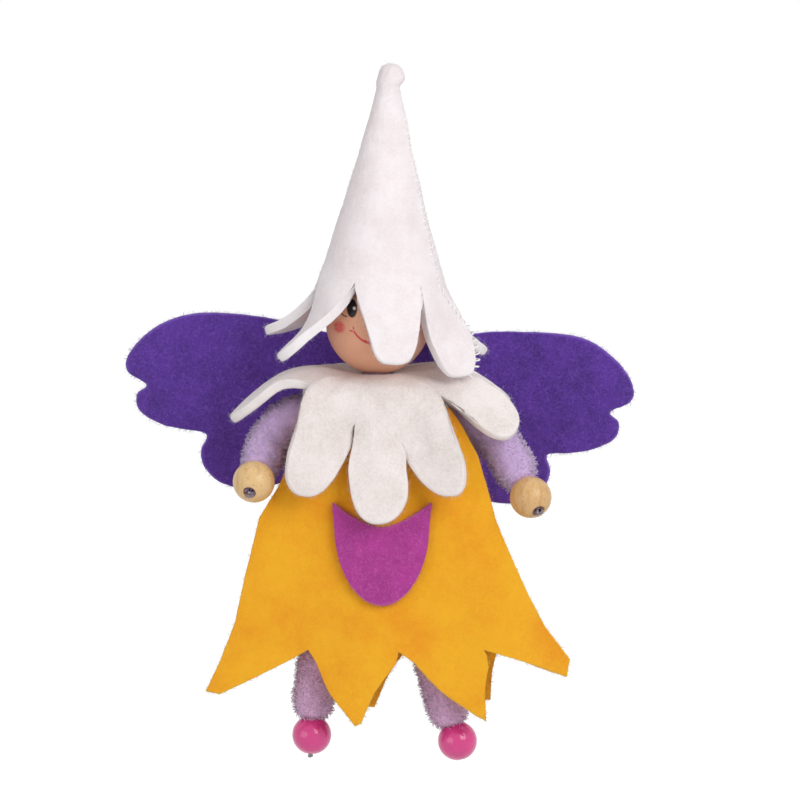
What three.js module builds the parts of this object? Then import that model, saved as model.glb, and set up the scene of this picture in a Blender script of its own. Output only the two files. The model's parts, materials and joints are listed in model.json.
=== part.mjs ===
// Felt fairy doll: petal hat, flower collar, two-panel dress and butterfly wings cut from
// wool felt, a wooden bead head, and arms and legs of chenille stem with bead hands and feet.
// Millimetres, +Z up, the doll faces -Y, +X is the viewer's right, origin at the hat's tip.
// The doll is laid out from its neck and then moved so that the hat's tip is the origin.

import * as THREE from 'three';
import { mergeVertices } from 'three/addons/utils/BufferGeometryUtils.js';

// Driving dimensions: felt and fits
const FELT = 1.8;              // thickness of the wool felt
const POCKET_FELT = 1.4;       // thinner felt of the pocket patch
const SEAT = 0.3;              // gap left where one piece rests on another
const HAT_FIT = 0.5;           // felt of the hat clear of the head bead, front and back
const DEG = Math.PI / 180;

// Driving dimensions: beads
const HEAD_RADIUS = 10;
const HEAD_BORE = 1.9;
const HAND_RADIUS = 4;
const HAND_BORE = 1.2;
const FOOT_RADIUS = 3.8;
const FOOT_BORE = 1.2;

// Driving dimensions: hat
const HAT_HEIGHT = 37.4;       // from the mouth, where the petals begin, to the foot of the knob
const HAT_KNOB_HEIGHT = 3.9;
const HAT_KNOB_RADIUS = 2.6;
const HAT_NECK_RADIUS = 2;     // the cone's radius right under the knob
const HAT_MOUTH_RADIUS = 12.08;  // half the side-to-side width at the mouth
const HAT_LEAN = 0.038;        // sideways lean of the cone, as a slope
const HAT_BOW = 0.5;           // the sides curve in by this much half-way up
const HAT_SHIFT = 0.5721;      // the mouth sits this far towards +X on the head
const HAT_MOUTH_ABOVE_HEAD = 8.3;  // the mouth above the head bead's centre
const HAT_TIP_SOLID = 5;       // bunched felt under the knob, before the hollow starts
const HAT_TURN_RATE = 1.25;    // a petal has its full turn this much before its end
const HAT_PETAL_HALF = 5.6;    // half the width of a petal's free end

// Petals of the hat, from the front round to the viewer's right. Each has the direction and
// the length of its middle, the notch that follows it (direction, depth below the mouth), how
// far its end turns out from hanging straight down, the way it heads and the way its end faces
const HAT_PETALS = [
  { angle: 8, reach: 15.7, notchAngle: 38, notch: 4.2, turn: 11, aim: 3, face: 6 },
  { angle: 66, reach: 19.2, notchAngle: 94, notch: 1.6, turn: 23, aim: 66, face: 44 },
  { angle: 123, reach: 19.2, notchAngle: 152, notch: 1.6, turn: 52, aim: 100, face: 98 },
  { angle: 184, reach: 14.5, notchAngle: 215, notch: 8, turn: 4, aim: 184, face: 184 },
  { angle: 247, reach: 17, notchAngle: 278, notch: 2.2, turn: 70, aim: 250, face: 240 },
  { angle: 307, reach: 18.2, notchAngle: 334, notch: 2.2, turn: 42, aim: 270, face: 270 },
];

// Driving dimensions: collar
const COLLAR_HOLE = 2.9;
const COLLAR_RISE_START = 3;   // the felt climbs between these distances from the neck
const COLLAR_RISE_END = 11;

// Petals of the collar, from the front round to the viewer's right. Each has the direction and
// the reach of its middle, the notch that follows it (direction, distance from the neck), the
// slope of its free end, the way that end faces, where it starts to bend and how long the bend
// is, its sideways tilt, how far it climbs before it bends, and half the width its sides aim for
const COLLAR_PETALS = [
  { angle: 0, reach: 33.8, notchAngle: 20, notch: 22.6, turn: 76.5, face: 0,
    start: 4.6, bend: 5.6, tilt: 0, rise: 0, half: 6.8 },
  { angle: 46, reach: 32.2, notchAngle: 60, notch: 14, turn: 70, face: -21.5,
    start: 2.5, bend: 16.2, tilt: -4.4, rise: 0.3, half: 6.5 },
  { angle: 73, reach: 30, notchAngle: 93, notch: 12.5, turn: 32, face: 58,
    start: 6, bend: 14, tilt: -42, rise: 0.3, half: 6.8 },
  { angle: 112, reach: 29, notchAngle: 142, notch: 12.5, turn: 36, face: 112,
    start: 9, bend: 14, tilt: 0, rise: 2.2, half: 6.8 },
  { angle: 172, reach: 31, notchAngle: 197, notch: 11, turn: 84, face: 178,
    start: 7, bend: 5.5, tilt: 0, rise: 1.5, half: 6.8 },
  { angle: 222, reach: 31, notchAngle: 246, notch: 11, turn: 84, face: 195,
    start: 10.7, bend: 5.5, tilt: 0, rise: 1.5, half: 6.8 },
  { angle: 270, reach: 31, notchAngle: 296, notch: 14.5, turn: 40, face: 270,
    start: 10, bend: 14, tilt: 3, rise: 1.5, half: 6.8 },
  { angle: 314, reach: 33.3, notchAngle: 341, notch: 17.3, turn: 72.8, face: 17.5,
    start: 5.5, bend: 13.7, tilt: 11.6, rise: 0, half: 6.9 },
];

// Driving dimensions: dress
const DRESS_TOP = 3.5;         // the neckline's depth below the neck
const DRESS_SHOULDER_FALL = 0.15;
const DRESS_CHEST = 5.9;       // middle plane of a panel from the body's centre plane
const DRESS_HEM_DEPTH = 9.2;   // the same at the hem
const DRESS_LENGTH = 66;
const DRESS_EDGE_DRAW = 0.42;  // how far the side edges draw in towards the other panel
const DRESS_BACK_SHIFT = 2.2;  // the back panel hangs this far towards +X
const DRESS_FOLD = 0.9;        // depth of the soft folds that run down to the teeth
const DRESS_FOLD_WAVES = 2.05; // half waves of the folds from the middle to a side edge
const DRESS_FOLD_SHIFT = 0.3;  // the folds' offset from the middle, in radians
const DRESS_HALF_TOP = 15;     // half widths over which the folds and the edges' draw are spread
const DRESS_HALF_HEM = 34;

// Side edges of a panel: [depth below the neck, half width], left edge then right edge
const DRESS_LEFT = [[3, 13], [9, 15.6], [15, 16.6], [21, 19], [27, 22.6], [37, 25.2],
  [47, 27.4], [54, 30], [60.5, 33]];
const DRESS_RIGHT = [[3, 11], [9, 15], [15, 18.6], [21, 20.6], [27, 22.4], [35, 25.6],
  [42, 28.2], [47.5, 31], [52, 34.2], [57, 36.6]];

// Hem of a panel from left to right: [share of the width, depth below the neck],
// points of the four teeth and notches between them
const DRESS_HEM = [[0, 60.5], [0.04, 61], [0.27, 53.2], [0.415, 67.2], [0.44, 66],
  [0.52, 53.2], [0.74, 66], [0.765, 66], [0.775, 52.8], [0.975, 57.6], [1, 56.6]];

// Driving dimensions: pocket patch on the front panel
const POCKET_LEFT = -8.6;
const POCKET_RIGHT = 10.2;
const POCKET_HORN = 23.6;      // depth of the two horns below the neck
const POCKET_DIP = 28.2;       // depth of the middle of its top edge
const POCKET_BOTTOM = 43.2;
const POCKET_SIDE = 4;         // length of the side edges below the horns
const POCKET_DRAW = 0.94;      // width at the lower edge, as a share of the width at the horns

// Driving dimensions: wings
const WING_ROOT_DEPTH = 8;     // the wings' middle below the neck
const WING_SWEEP = 0.2;        // backward slope from the flat middle outwards
const WING_FLAT = 6;           // half width of the flat middle that is glued on
const WING_TURN = 3.4;         // the wings sit turned, the viewer's left side higher
const WING_CURL = 1.2;         // slow wave of the felt towards the tips
const WING_CURL_LENGTH = 9;

// Half outline of the wings about their middle, from the top notch round the three lobes
const WING_OUTLINE = [[0, 3.4], [5, 5.5], [8.8, 11.6], [14, 14.6], [22, 16], [31, 16.4],
  [39.5, 15.4], [46, 11.6], [49.8, 6.6], [49.6, 3.4], [45.6, 1.2], [47.4, -0.8],
  [46.6, -4], [42.4, -6.2], [38, -7], [33.6, -7.6], [34.4, -11], [33.2, -14.4],
  [29.6, -17.2], [24, -17.6], [16, -15.4], [8, -13], [0, -12]];

// Driving dimensions: chenille stems
const ARM_PILE = 4.2;
const LEG_PILE = 3.5;
const TORSO_PILE = 4.2;
const PILE_BORE_GAP = 0.3;     // pile clear of the twisted wire that holds it
const LIMB_WIRE = 0.35;        // one strand of the wire in arms and legs
const SPINE_WIRE = 0.5;        // one strand of the doubled wire in the body
const WIRE_PITCH = 5.5;        // length of one full twist
const WIRE_STUB = 0.4;         // wire that shows past a bead

const SHOULDER_X = 9;
const SHOULDER_Y = 0.4;
const SHOULDER_DEPTH = 7.6;
const SHOULDER_ROOT = 2.4;     // the pile is squeezed where it leaves the dress
const WRAP_RADIUS = 1.4;       // squeezed stem of the arms, wound on the body's wire
const WRAP_PITCH = 6.4;
const NECK_PILE = 2.4;         // squeezed pile of the neck, through the collar's hole
const SPINE_TOP = 15;          // the fold of the stem, up in the head bead's bore
const SPINE_BOTTOM = 34.8;
const HIP_X = 3.6;
const HIP_Y = 0.4;
const HIP_DROP = 3.6;          // the hips hang this far below the body's wire
const HIP_DOME = 3.2;

// Middle lines of the arms from the shoulder to the bead's centre, chosen by hand
const ARM_LEFT = [[-14, 0.5, -7.6], [-18.2, 0.1, -9.6], [-20.9, -1.2, -13],
  [-22.2, -3.9, -16.2], [-23.6, -10, -19.4]];
const ARM_RIGHT = [[14, 0.5, -7.6], [19, 0.4, -9.4], [23.2, -0.3, -12.9],
  [25.9, -2.1, -17.2], [29.2, -8.2, -22.6]];

// Middle lines of the legs, their heights measured from the hips
const LEG_LEFT = [[-7.6, 0.6, -5.6], [-11, 0.6, -13.1], [-12.2, 0.4, -21.6], [-12.8, 0.2, -30.8]];
const LEG_RIGHT = [[6.8, 0.6, -6.1], [10, 0.6, -14.6], [12.6, 0.4, -23.6], [15.2, 0.2, -32.2]];

// Resolution of the curved solids
const PETAL_STEPS = 8;
const BEAD_SIDES = 18;
const PILE_SIDES = 9;

const v = (x, y, z) => new THREE.Vector3(x, y, z);
const mix = THREE.MathUtils.lerp;

// A closed solid through a chain of rings. A ring is a list of points, all of one count, or
// a single point where the solid closes. A chain with closed=true joins its last ring to its
// first. Rings at open ends are capped as a thin strip, side against side.
function solidFromRings(rings, closed = false) {
  const triangles = [];
  const add = (a, b, c) => triangles.push(a, b, c);
  const links = closed ? rings.length : rings.length - 1;
  for (let k = 0; k < links; k++) {
    const lower = rings[k];
    const upper = rings[(k + 1) % rings.length];
    const count = Math.max(lower.length, upper.length);
    for (let i = 0; i < count; i++) {
      const j = (i + 1) % count;
      if (lower.length === 1) {
        add(lower[0], upper[j], upper[i]);
      } else if (upper.length === 1) {
        add(lower[i], lower[j], upper[0]);
      } else {
        add(lower[i], lower[j], upper[j]);
        add(lower[i], upper[j], upper[i]);
      }
    }
  }
  if (!closed) {
    capStrip(rings[0], add, true);
    capStrip(rings[rings.length - 1], add, false);
  }
  return closedGeometry(triangles);
}

// Closes a thin ring whose first half runs along one face and second half back along the other
function capStrip(ring, add, flip) {
  const last = ring.length - 1;
  for (let i = 0; i + 1 < ring.length / 2; i++) {
    const quad = [ring[i], ring[i + 1], ring[last - i - 1], ring[last - i]];
    const order = flip ? [0, 1, 2, 3] : [3, 2, 1, 0];
    const [a, b, c, d] = order.map((n) => quad[n]);
    add(a, c, b);
    add(a, d, c);
  }
}

// Merges equal points, drops triangles without area and turns the faces outwards
function closedGeometry(triangles) {
  const soup = new THREE.BufferGeometry();
  soup.setFromPoints(triangles);
  const merged = mergeVertices(soup, 1e-4);
  const index = merged.index.array;
  const kept = [];
  for (let i = 0; i < index.length; i += 3) {
    const [a, b, c] = [index[i], index[i + 1], index[i + 2]];
    if (a !== b && b !== c && c !== a) {
      kept.push(a, b, c);
    }
  }
  if (signedVolume(merged.attributes.position, kept) < 0) {
    kept.reverse();
  }
  merged.setIndex(kept);
  merged.computeVertexNormals();
  return merged;
}

function signedVolume(position, index) {
  const [a, b, c] = [v(), v(), v()];
  let volume = 0;
  for (let i = 0; i < index.length; i += 3) {
    a.fromBufferAttribute(position, index[i]);
    b.fromBufferAttribute(position, index[i + 1]);
    c.fromBufferAttribute(position, index[i + 2]);
    volume += a.dot(b.cross(c)) / 6;
  }
  return volume;
}

// Value at a place in a list of [place, value] pairs, straight between the pairs
function alongPairs(pairs, place) {
  const first = pairs[0];
  const last = pairs[pairs.length - 1];
  if (place <= first[0]) {
    return first[1];
  }
  for (let i = 1; i < pairs.length; i++) {
    const [p0, v0] = pairs[i - 1];
    const [p1, v1] = pairs[i];
    if (place <= p1) {
      return mix(v0, v1, (place - p0) / (p1 - p0));
    }
  }
  return last[1];
}

// Both faces of a felt sheet from its middle points: grid[row][column], rows from the
// middle outwards. around=true when the columns close on themselves.
function feltFaces(grid, thickness, around) {
  const rows = grid.length;
  const columns = grid[0].length;
  const at = (r, c) => {
    const row = grid[THREE.MathUtils.clamp(r, 0, rows - 1)];
    const column = around ? (c + columns) % columns : THREE.MathUtils.clamp(c, 0, columns - 1);
    return row[column];
  };
  const faces = { front: [], back: [] };
  for (let r = 0; r < rows; r++) {
    const front = [];
    const back = [];
    for (let c = 0; c < columns; c++) {
      const alongColumn = at(r + 1, c).clone().sub(at(r - 1, c));
      const alongRow = at(r, c + 1).clone().sub(at(r, c - 1));
      const normal = alongColumn.cross(alongRow).normalize();
      front.push(at(r, c).clone().addScaledVector(normal, thickness / 2));
      back.push(at(r, c).clone().addScaledVector(normal, -thickness / 2));
    }
    faces.front.push(front);
    faces.back.push(back);
  }
  return faces;
}

// The angle from one direction to another, the short way round, in degrees
const turnBetween = (from, to) => ((to - from + 540) % 360) - 180;
const outwardOf = (angle) => v(Math.sin(angle), -Math.cos(angle), 0);
const sidewaysOf = (angle) => v(Math.cos(angle), Math.sin(angle), 0);

// Round-ended petals side by side: for each column its petal and the one next to it, how far
// through its petal it is (-1 to 1), its direction, and the notch on its side
function petalColumns(petals) {
  const count = petals.length;
  const columns = [];
  petals.forEach((petal, n) => {
    const before = petals[(n + count - 1) % count];
    const after = petals[(n + 1) % count];
    for (let i = 0; i < PETAL_STEPS; i++) {
      const through = Math.sin((Math.PI / 2) * ((2 * i) / PETAL_STEPS - 1));
      const near = through < 0 ? before : petal;
      const neighbour = through < 0 ? before : after;
      const half = Math.abs(turnBetween(petal.angle, near.notchAngle)) * DEG;
      const angle = petal.angle * DEG + through * half;
      columns.push({ petal, neighbour, through, angle, half, notch: near.notch });
    }
  });
  return columns;
}

const headCentre = HEAD_RADIUS + SEAT;
const hatMouthZ = headCentre + HAT_MOUTH_ABOVE_HEAD;
const hatNeckZ = hatMouthZ + HAT_HEIGHT;
const hatTipZ = hatNeckZ + HAT_KNOB_HEIGHT;

// The hat is folded felt with one side seam, so it is wider than it is deep: its sides
// stand off the head, and its front and back lie on the head bead
const hatSideSlope = (HAT_MOUTH_RADIUS - HAT_NECK_RADIUS) / HAT_HEIGHT;
const hatDepthSlope = (() => {
  const reach = HEAD_RADIUS + HAT_FIT + FELT;
  const rise = hatNeckZ - headCentre;
  const across = Math.hypot(HAT_NECK_RADIUS, rise);
  return Math.tan(Math.asin(reach / across) - Math.atan(HAT_NECK_RADIUS / rise));
})();
const hatCentreX = (z) => HAT_SHIFT + HAT_LEAN * (z - hatMouthZ);

// A point on the middle of the felt of the hat's cone, at a height
function hatConePoint(angle, z) {
  const fall = hatNeckZ - z;
  const drawn = HAT_BOW * Math.sin((Math.PI * fall) / HAT_HEIGHT);
  const side = HAT_NECK_RADIUS + hatSideSlope * fall - drawn - FELT / 2;
  const depth = HAT_NECK_RADIUS + hatDepthSlope * fall - FELT / 2;
  return v(hatCentreX(z) + side * Math.sin(angle), -depth * Math.cos(angle), z);
}

// A point of a petal, a distance below the mouth. Its middle line keeps the cone's slope and
// then turns to where it heads, and its width leaves the cone's round and becomes flat
function hatPetalPoint(column, distance) {
  const steps = 12;
  const { petal } = column;
  const own = petal.angle * DEG;
  const middle = hatConePoint(own, hatMouthZ);
  const aside = hatConePoint(column.angle, hatMouthZ).sub(middle);
  const lean = Math.atan(mix(hatDepthSlope, hatSideSlope, Math.sin(own) ** 2));
  for (let i = 0; i < steps; i++) {
    const share = ((i + 0.5) / steps) * (distance / petal.reach);
    const turned = Math.min(1, share * HAT_TURN_RATE);
    const slope = mix(lean, petal.turn * DEG, turned);
    const heading = mix(own, petal.aim * DEG, turned);
    middle.addScaledVector(outwardOf(heading), (Math.sin(slope) * distance) / steps);
    middle.z -= (Math.cos(slope) * distance) / steps;
  }
  const flat = sidewaysOf(petal.face * DEG).multiplyScalar(column.through * HAT_PETAL_HALF);
  return middle.add(aside.lerp(flat, THREE.MathUtils.smoothstep(distance / petal.reach, 0, 1)));
}

// How far down from the mouth the hat's felt reaches in one column
function hatReach(column) {
  const round = Math.pow(1 - Math.abs(column.through) ** 3.4, 0.4);
  return mix(column.notch, column.petal.reach, round);
}

function hatFelt() {
  const columns = petalColumns(HAT_PETALS);
  const hollowTop = hatNeckZ - HAT_TIP_SOLID;
  const roundRing = (z, radius) => columns.map((c) => {
    return v(hatCentreX(z) + radius * Math.sin(c.angle), -radius * Math.cos(c.angle), z);
  });
  const knobRing = (height, radius) => roundRing(hatNeckZ + HAT_KNOB_HEIGHT * height, radius);
  const coneRow = (down) => {
    return columns.map((c) => hatConePoint(c.angle, mix(hollowTop, hatMouthZ, down)));
  };
  const petalRow = (share) => columns.map((c) => hatPetalPoint(c, hatReach(c) * share));
  const rows = [coneRow(0), coneRow(0.5), coneRow(1), petalRow(0.33), petalRow(0.66), petalRow(1)];
  const faces = feltFaces(rows, FELT, true);
  return solidFromRings([
    [v(hatCentreX(hatTipZ), 0, hatTipZ)],
    knobRing(0.85, HAT_KNOB_RADIUS * 0.75),
    knobRing(0.5, HAT_KNOB_RADIUS),
    knobRing(0.15, HAT_KNOB_RADIUS * 0.9),
    knobRing(0, HAT_NECK_RADIUS),
    ...faces.front,
    ...faces.back.reverse(),
    [v(hatCentreX(hollowTop), 0, hollowTop + 1)],
  ]);
}

// How far out and how low the felt of a collar petal lies at a distance along its middle
function collarProfile(petal, distance) {
  const steps = 16;
  const step = distance / steps;
  const profile = { out: 0, down: 0, hang: 0 };
  for (let i = 0; i < steps; i++) {
    const at = (i + 0.5) * step;
    profile.hang = THREE.MathUtils.smoothstep(at, petal.start, petal.start + petal.bend);
    const slope = petal.turn * DEG * profile.hang;
    profile.out += Math.cos(slope) * step;
    profile.down += Math.sin(slope) * step;
  }
  return profile;
}

// A point of the collar as one petal carries it, from its place in the flat felt: bent along
// the petal's own middle line
function onCollarPetal(petal, angle, distance) {
  const apart = turnBetween(petal.angle, angle / DEG) * DEG;
  const along = distance * Math.cos(apart);
  const across = distance * Math.sin(apart);
  const { out, down, hang } = collarProfile(petal, along);
  const face = (petal.angle + turnBetween(petal.angle, petal.face) * hang) * DEG;
  const tilt = petal.tilt * DEG * hang;
  const share = THREE.MathUtils.smoothstep(along, COLLAR_RISE_START, COLLAR_RISE_END);
  const point = outwardOf(petal.angle * DEG).multiplyScalar(out);
  point.addScaledVector(sidewaysOf(face), across * Math.cos(tilt));
  point.z = petal.rise * share - FELT / 2 - down - across * Math.sin(tilt);
  return point;
}

// A point of the collar, a share of the way from its hole to its edge in one column. Near the
// neck and at the notches the felt of two petals is one, so it lies between them
function collarPoint(column, share) {
  const { petal, through, half, notch } = column;
  const wide = Math.abs(through);
  const off = half * through;
  const edgeAcross = through * mix(petal.half, notch * Math.sin(half), wide ** 5);
  const edgeAlong = mix(notch * Math.cos(half), petal.reach, Math.sqrt(1 - wide ** 2.6));
  const across = mix(COLLAR_HOLE * Math.sin(off), edgeAcross, share);
  const along = mix(COLLAR_HOLE * Math.cos(off), edgeAlong, share);
  const angle = petal.angle * DEG + Math.atan2(across, along);
  const distance = Math.hypot(across, along);
  const own = onCollarPetal(petal, angle, distance);
  const other = onCollarPetal(column.neighbour, angle, distance);
  const inner = 1 - THREE.MathUtils.smoothstep(distance / notch, 0.9, 1.4);
  return own.lerp(other, 0.5 * inner * wide ** 1.5);
}

function collarGrid() {
  const columns = petalColumns(COLLAR_PETALS);
  const shares = [0, 0.1, 0.25, 0.45, 0.7, 1];
  return shares.map((share) => columns.map((column) => collarPoint(column, share)));
}

function collarFelt() {
  const faces = feltFaces(collarGrid(), FELT, true);
  return solidFromRings([...faces.front, ...faces.back.reverse()], true);
}

// Middle surface of a dress panel: side is -1 in front and 1 behind
function panelDepth(x, z, side) {
  const fall = THREE.MathUtils.clamp((-z - DRESS_TOP) / (DRESS_LENGTH - DRESS_TOP), 0, 1);
  const middle = mix(DRESS_CHEST, DRESS_HEM_DEPTH, fall);
  const halfWidth = mix(DRESS_HALF_TOP, DRESS_HALF_HEM, fall);
  const across = Math.min(1.1, Math.abs(x) / halfWidth);
  const drawn = middle * (1 - DRESS_EDGE_DRAW * fall ** 0.6 * across ** 2.4);
  const wave = (x / halfWidth) * DRESS_FOLD_WAVES * Math.PI + DRESS_FOLD_SHIFT;
  const folds = DRESS_FOLD * fall * Math.cos(wave);
  return side * (drawn + folds);
}

// Places across a panel: every corner of the hem, and steps between them
function hemPlaces() {
  const places = [0];
  for (let i = 1; i < DRESS_HEM.length; i++) {
    const from = DRESS_HEM[i - 1][0];
    const to = DRESS_HEM[i][0];
    const steps = Math.ceil((to - from) / 0.06);
    for (let k = 1; k <= steps; k++) {
      places.push(mix(from, to, k / steps));
    }
  }
  return places;
}

function panelGrid(side) {
  const places = hemPlaces();
  const downShares = [0, 0.1, 0.22, 0.36, 0.5, 0.64, 0.77, 0.89, 1];
  const shift = side > 0 ? DRESS_BACK_SHIFT : 0;
  return downShares.map((down) => {
    const row = [];
    for (const across of places) {
      const flat = mix(-DRESS_LEFT[0][1], DRESS_RIGHT[0][1], across);
      const top = DRESS_TOP + DRESS_SHOULDER_FALL * Math.abs(flat);
      const depth = mix(top, alongPairs(DRESS_HEM, across), down);
      const left = -alongPairs(DRESS_LEFT, depth);
      const right = alongPairs(DRESS_RIGHT, depth);
      const x = mix(left, right, across);
      row.push(v(x + shift * down, panelDepth(x, -depth, side), -depth));
    }
    return row;
  });
}

function dressPanel(side) {
  const faces = feltFaces(panelGrid(side), FELT, false);
  const rings = faces.front.map((front, r) => [...front, ...faces.back[r].slice().reverse()]);
  return solidFromRings(rings);
}

// Tulip-shaped patch that follows the front panel
function pocketFelt() {
  const acrossSteps = 12;
  const shares = [0, 0.25, 0.5, 0.75, 1];
  const middleX = (POCKET_LEFT + POCKET_RIGHT) / 2;
  const halfWidth = (POCKET_RIGHT - POCKET_LEFT) / 2;
  const lift = FELT / 2 + SEAT + POCKET_FELT / 2;
  const grid = shares.map((down) => {
    const row = [];
    for (let i = 0; i <= acrossSteps; i++) {
      const side = (2 * i) / acrossSteps - 1;
      const top = mix(POCKET_DIP, POCKET_HORN, Math.abs(side) ** 1.6);
      const round = Math.sqrt(1 - 0.96 * side ** 2);
      const bottom = mix(POCKET_HORN + POCKET_SIDE, POCKET_BOTTOM, round);
      const depth = mix(top, bottom, down);
      const x = middleX + side * halfWidth * mix(1, POCKET_DRAW, down);
      row.push(v(x, panelDepth(x, -depth, -1) - lift, -depth));
    }
    return row;
  });
  const faces = feltFaces(grid, POCKET_FELT, false);
  const rings = faces.front.map((front, r) => [...front, ...faces.back[r].slice().reverse()]);
  return solidFromRings(rings);
}

// The collar's back petals lie on the dress, and the wings are glued on those petals
const wingPlane = (() => {
  let furthest = 0;
  for (const point of collarGrid().flat()) {
    const beyond = Math.max(0, Math.abs(point.x) - WING_FLAT);
    furthest = Math.max(furthest, point.y - WING_SWEEP * beyond);
  }
  return furthest + FELT + SEAT;
})();
const wingSpan = Math.max(...WING_OUTLINE.map(([x]) => x));

function wingPoint(x, z, share) {
  const turn = WING_TURN * DEG;
  const beyond = Math.max(0, Math.abs(x) - WING_FLAT);
  const curl = WING_CURL * share * Math.sin(Math.abs(x) / WING_CURL_LENGTH);
  const y = wingPlane + WING_SWEEP * beyond + (beyond > 0 ? curl : 0);
  const turnedX = x * Math.cos(turn) + z * Math.sin(turn);
  const turnedZ = z * Math.cos(turn) - x * Math.sin(turn);
  return v(turnedX, y, turnedZ - WING_ROOT_DEPTH);
}

// Both wings are one piece of felt, glued on by its flat middle
function wingsFelt() {
  const half = new THREE.SplineCurve(WING_OUTLINE.map(([x, z]) => new THREE.Vector2(x, z)));
  const right = half.getPoints(32);
  const left = right.slice(1, -1).reverse().map((p) => new THREE.Vector2(-p.x, p.y));
  const outline = [...right, ...left];
  const shares = [WING_FLAT / wingSpan, 0.56, 1];
  const face = (offset) => shares.map((share) => outline.map((p) => {
    const point = wingPoint(p.x * share, p.y * share, share);
    point.y += offset;
    return point;
  }));
  const front = face(-FELT / 2);
  const back = face(FELT / 2).reverse();
  const pole = (offset) => [v(0, wingPlane + offset, -WING_ROOT_DEPTH)];
  return solidFromRings([pole(-FELT / 2), ...front, ...back, pole(FELT / 2)]);
}

// Frames along a curve that turn as little as they can
function curveStations(points, steps) {
  const curve = new THREE.CatmullRomCurve3(points, false, 'centripetal');
  const frames = curve.computeFrenetFrames(steps, false);
  const length = curve.getLength();
  const stations = [];
  for (let i = 0; i <= steps; i++) {
    stations.push({
      at: curve.getPointAt(i / steps),
      side: frames.normals[i],
      up: frames.binormals[i],
      along: (length * i) / steps,
      share: i / steps,
    });
  }
  return stations;
}

function ringRound(station, radius, sides) {
  const ring = [];
  for (let i = 0; i < sides; i++) {
    const angle = (2 * Math.PI * i) / sides;
    const point = station.at.clone();
    point.addScaledVector(station.side, radius * Math.cos(angle));
    point.addScaledVector(station.up, radius * Math.sin(angle));
    ring.push(point);
  }
  return ring;
}

// Chenille pile: a sleeve along its middle line, with a bore for the twisted wire
function pileSleeve(points, steps, radiusAt, bore) {
  const stations = curveStations(points, steps);
  const outer = stations.map((s) => ringRound(s, radiusAt(s.share), PILE_SIDES));
  const inner = stations.map((s) => ringRound(s, bore, PILE_SIDES)).reverse();
  return solidFromRings([...outer, ...inner], true);
}

// Two strands twisted together: a section of two touching rounds that turns as it goes
function twistedWire(points, strand) {
  const length = new THREE.CatmullRomCurve3(points, false, 'centripetal').getLength();
  const steps = Math.ceil((length / WIRE_PITCH) * 6);
  const stations = curveStations(points, steps);
  const section = [[2, 0], [1.3, 0.95], [0, 0.55], [-1.3, 0.95],
    [-2, 0], [-1.3, -0.95], [0, -0.55], [1.3, -0.95]];
  const rings = stations.map((s) => {
    const turn = (2 * Math.PI * s.along) / WIRE_PITCH;
    return section.map(([across, over]) => {
      const a = (across * Math.cos(turn) - over * Math.sin(turn)) * strand;
      const b = (across * Math.sin(turn) + over * Math.cos(turn)) * strand;
      return s.at.clone().addScaledVector(s.side, a).addScaledVector(s.up, b);
    });
  });
  const first = stations[0].at.clone();
  const last = stations[stations.length - 1].at.clone();
  return solidFromRings([[first], ...rings, [last]]);
}

// Round bead turned on a lathe, bored through, its axis along a direction
function bead(radius, bore, centre, direction) {
  const rise = Math.sqrt(radius ** 2 - bore ** 2);
  const arc = Math.asin(rise / radius);
  const steps = radius > 5 ? 14 : 8;
  const profile = [];
  for (let i = 0; i <= steps; i++) {
    const angle = mix(-arc, arc, i / steps);
    profile.push(new THREE.Vector2(radius * Math.cos(angle), radius * Math.sin(angle)));
  }
  profile.push(profile[0].clone());
  const sides = radius > 5 ? BEAD_SIDES + 10 : BEAD_SIDES;
  const geometry = new THREE.LatheGeometry(profile, sides);
  geometry.deleteAttribute('normal');
  geometry.deleteAttribute('uv');
  const turn = new THREE.Quaternion().setFromUnitVectors(v(0, 1, 0), direction.clone().normalize());
  geometry.applyQuaternion(turn);
  geometry.translate(centre.x, centre.y, centre.z);
  const merged = mergeVertices(geometry, 1e-4);
  const triangles = Array.from(merged.index.array, (i) => {
    return v().fromBufferAttribute(merged.attributes.position, i);
  });
  return closedGeometry(triangles);
}

// A limb's middle line: joint, chosen points, and where the pile and the wire end
function limbLines(joint, chosen, beadRadius) {
  const points = [joint, ...chosen.map(([x, y, z]) => v(x, y, z))];
  const centre = points[points.length - 1].clone();
  const direction = centre.clone().sub(points[points.length - 2]).normalize();
  const pileEnd = centre.clone().addScaledVector(direction, -(beadRadius + SEAT));
  const wireEnd = centre.clone().addScaledVector(direction, beadRadius + WIRE_STUB);
  const before = points.slice(0, -1);
  return { centre, direction, pile: [...before, pileEnd], wire: [...before, pileEnd, wireEnd] };
}

const pileBore = (strand) => strand * 2 + PILE_BORE_GAP;
const hipDepth = SPINE_BOTTOM + HIP_DROP;

function armPieces(side, chosen) {
  const joint = v(side * SHOULDER_X, SHOULDER_Y, -SHOULDER_DEPTH);
  const lines = limbLines(joint, chosen, HAND_RADIUS);
  const radiusAt = (share) => {
    const root = THREE.MathUtils.smoothstep(share, 0, 0.3);
    const end = 1 - 0.3 * THREE.MathUtils.smoothstep(share, 0.86, 1);
    return mix(SHOULDER_ROOT, ARM_PILE, root) * end;
  };
  return {
    pile: pileSleeve(lines.pile, 12, radiusAt, pileBore(LIMB_WIRE)),
    wire: twistedWire(lines.wire, LIMB_WIRE),
    bead: bead(HAND_RADIUS, HAND_BORE, lines.centre, lines.direction),
  };
}

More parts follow.
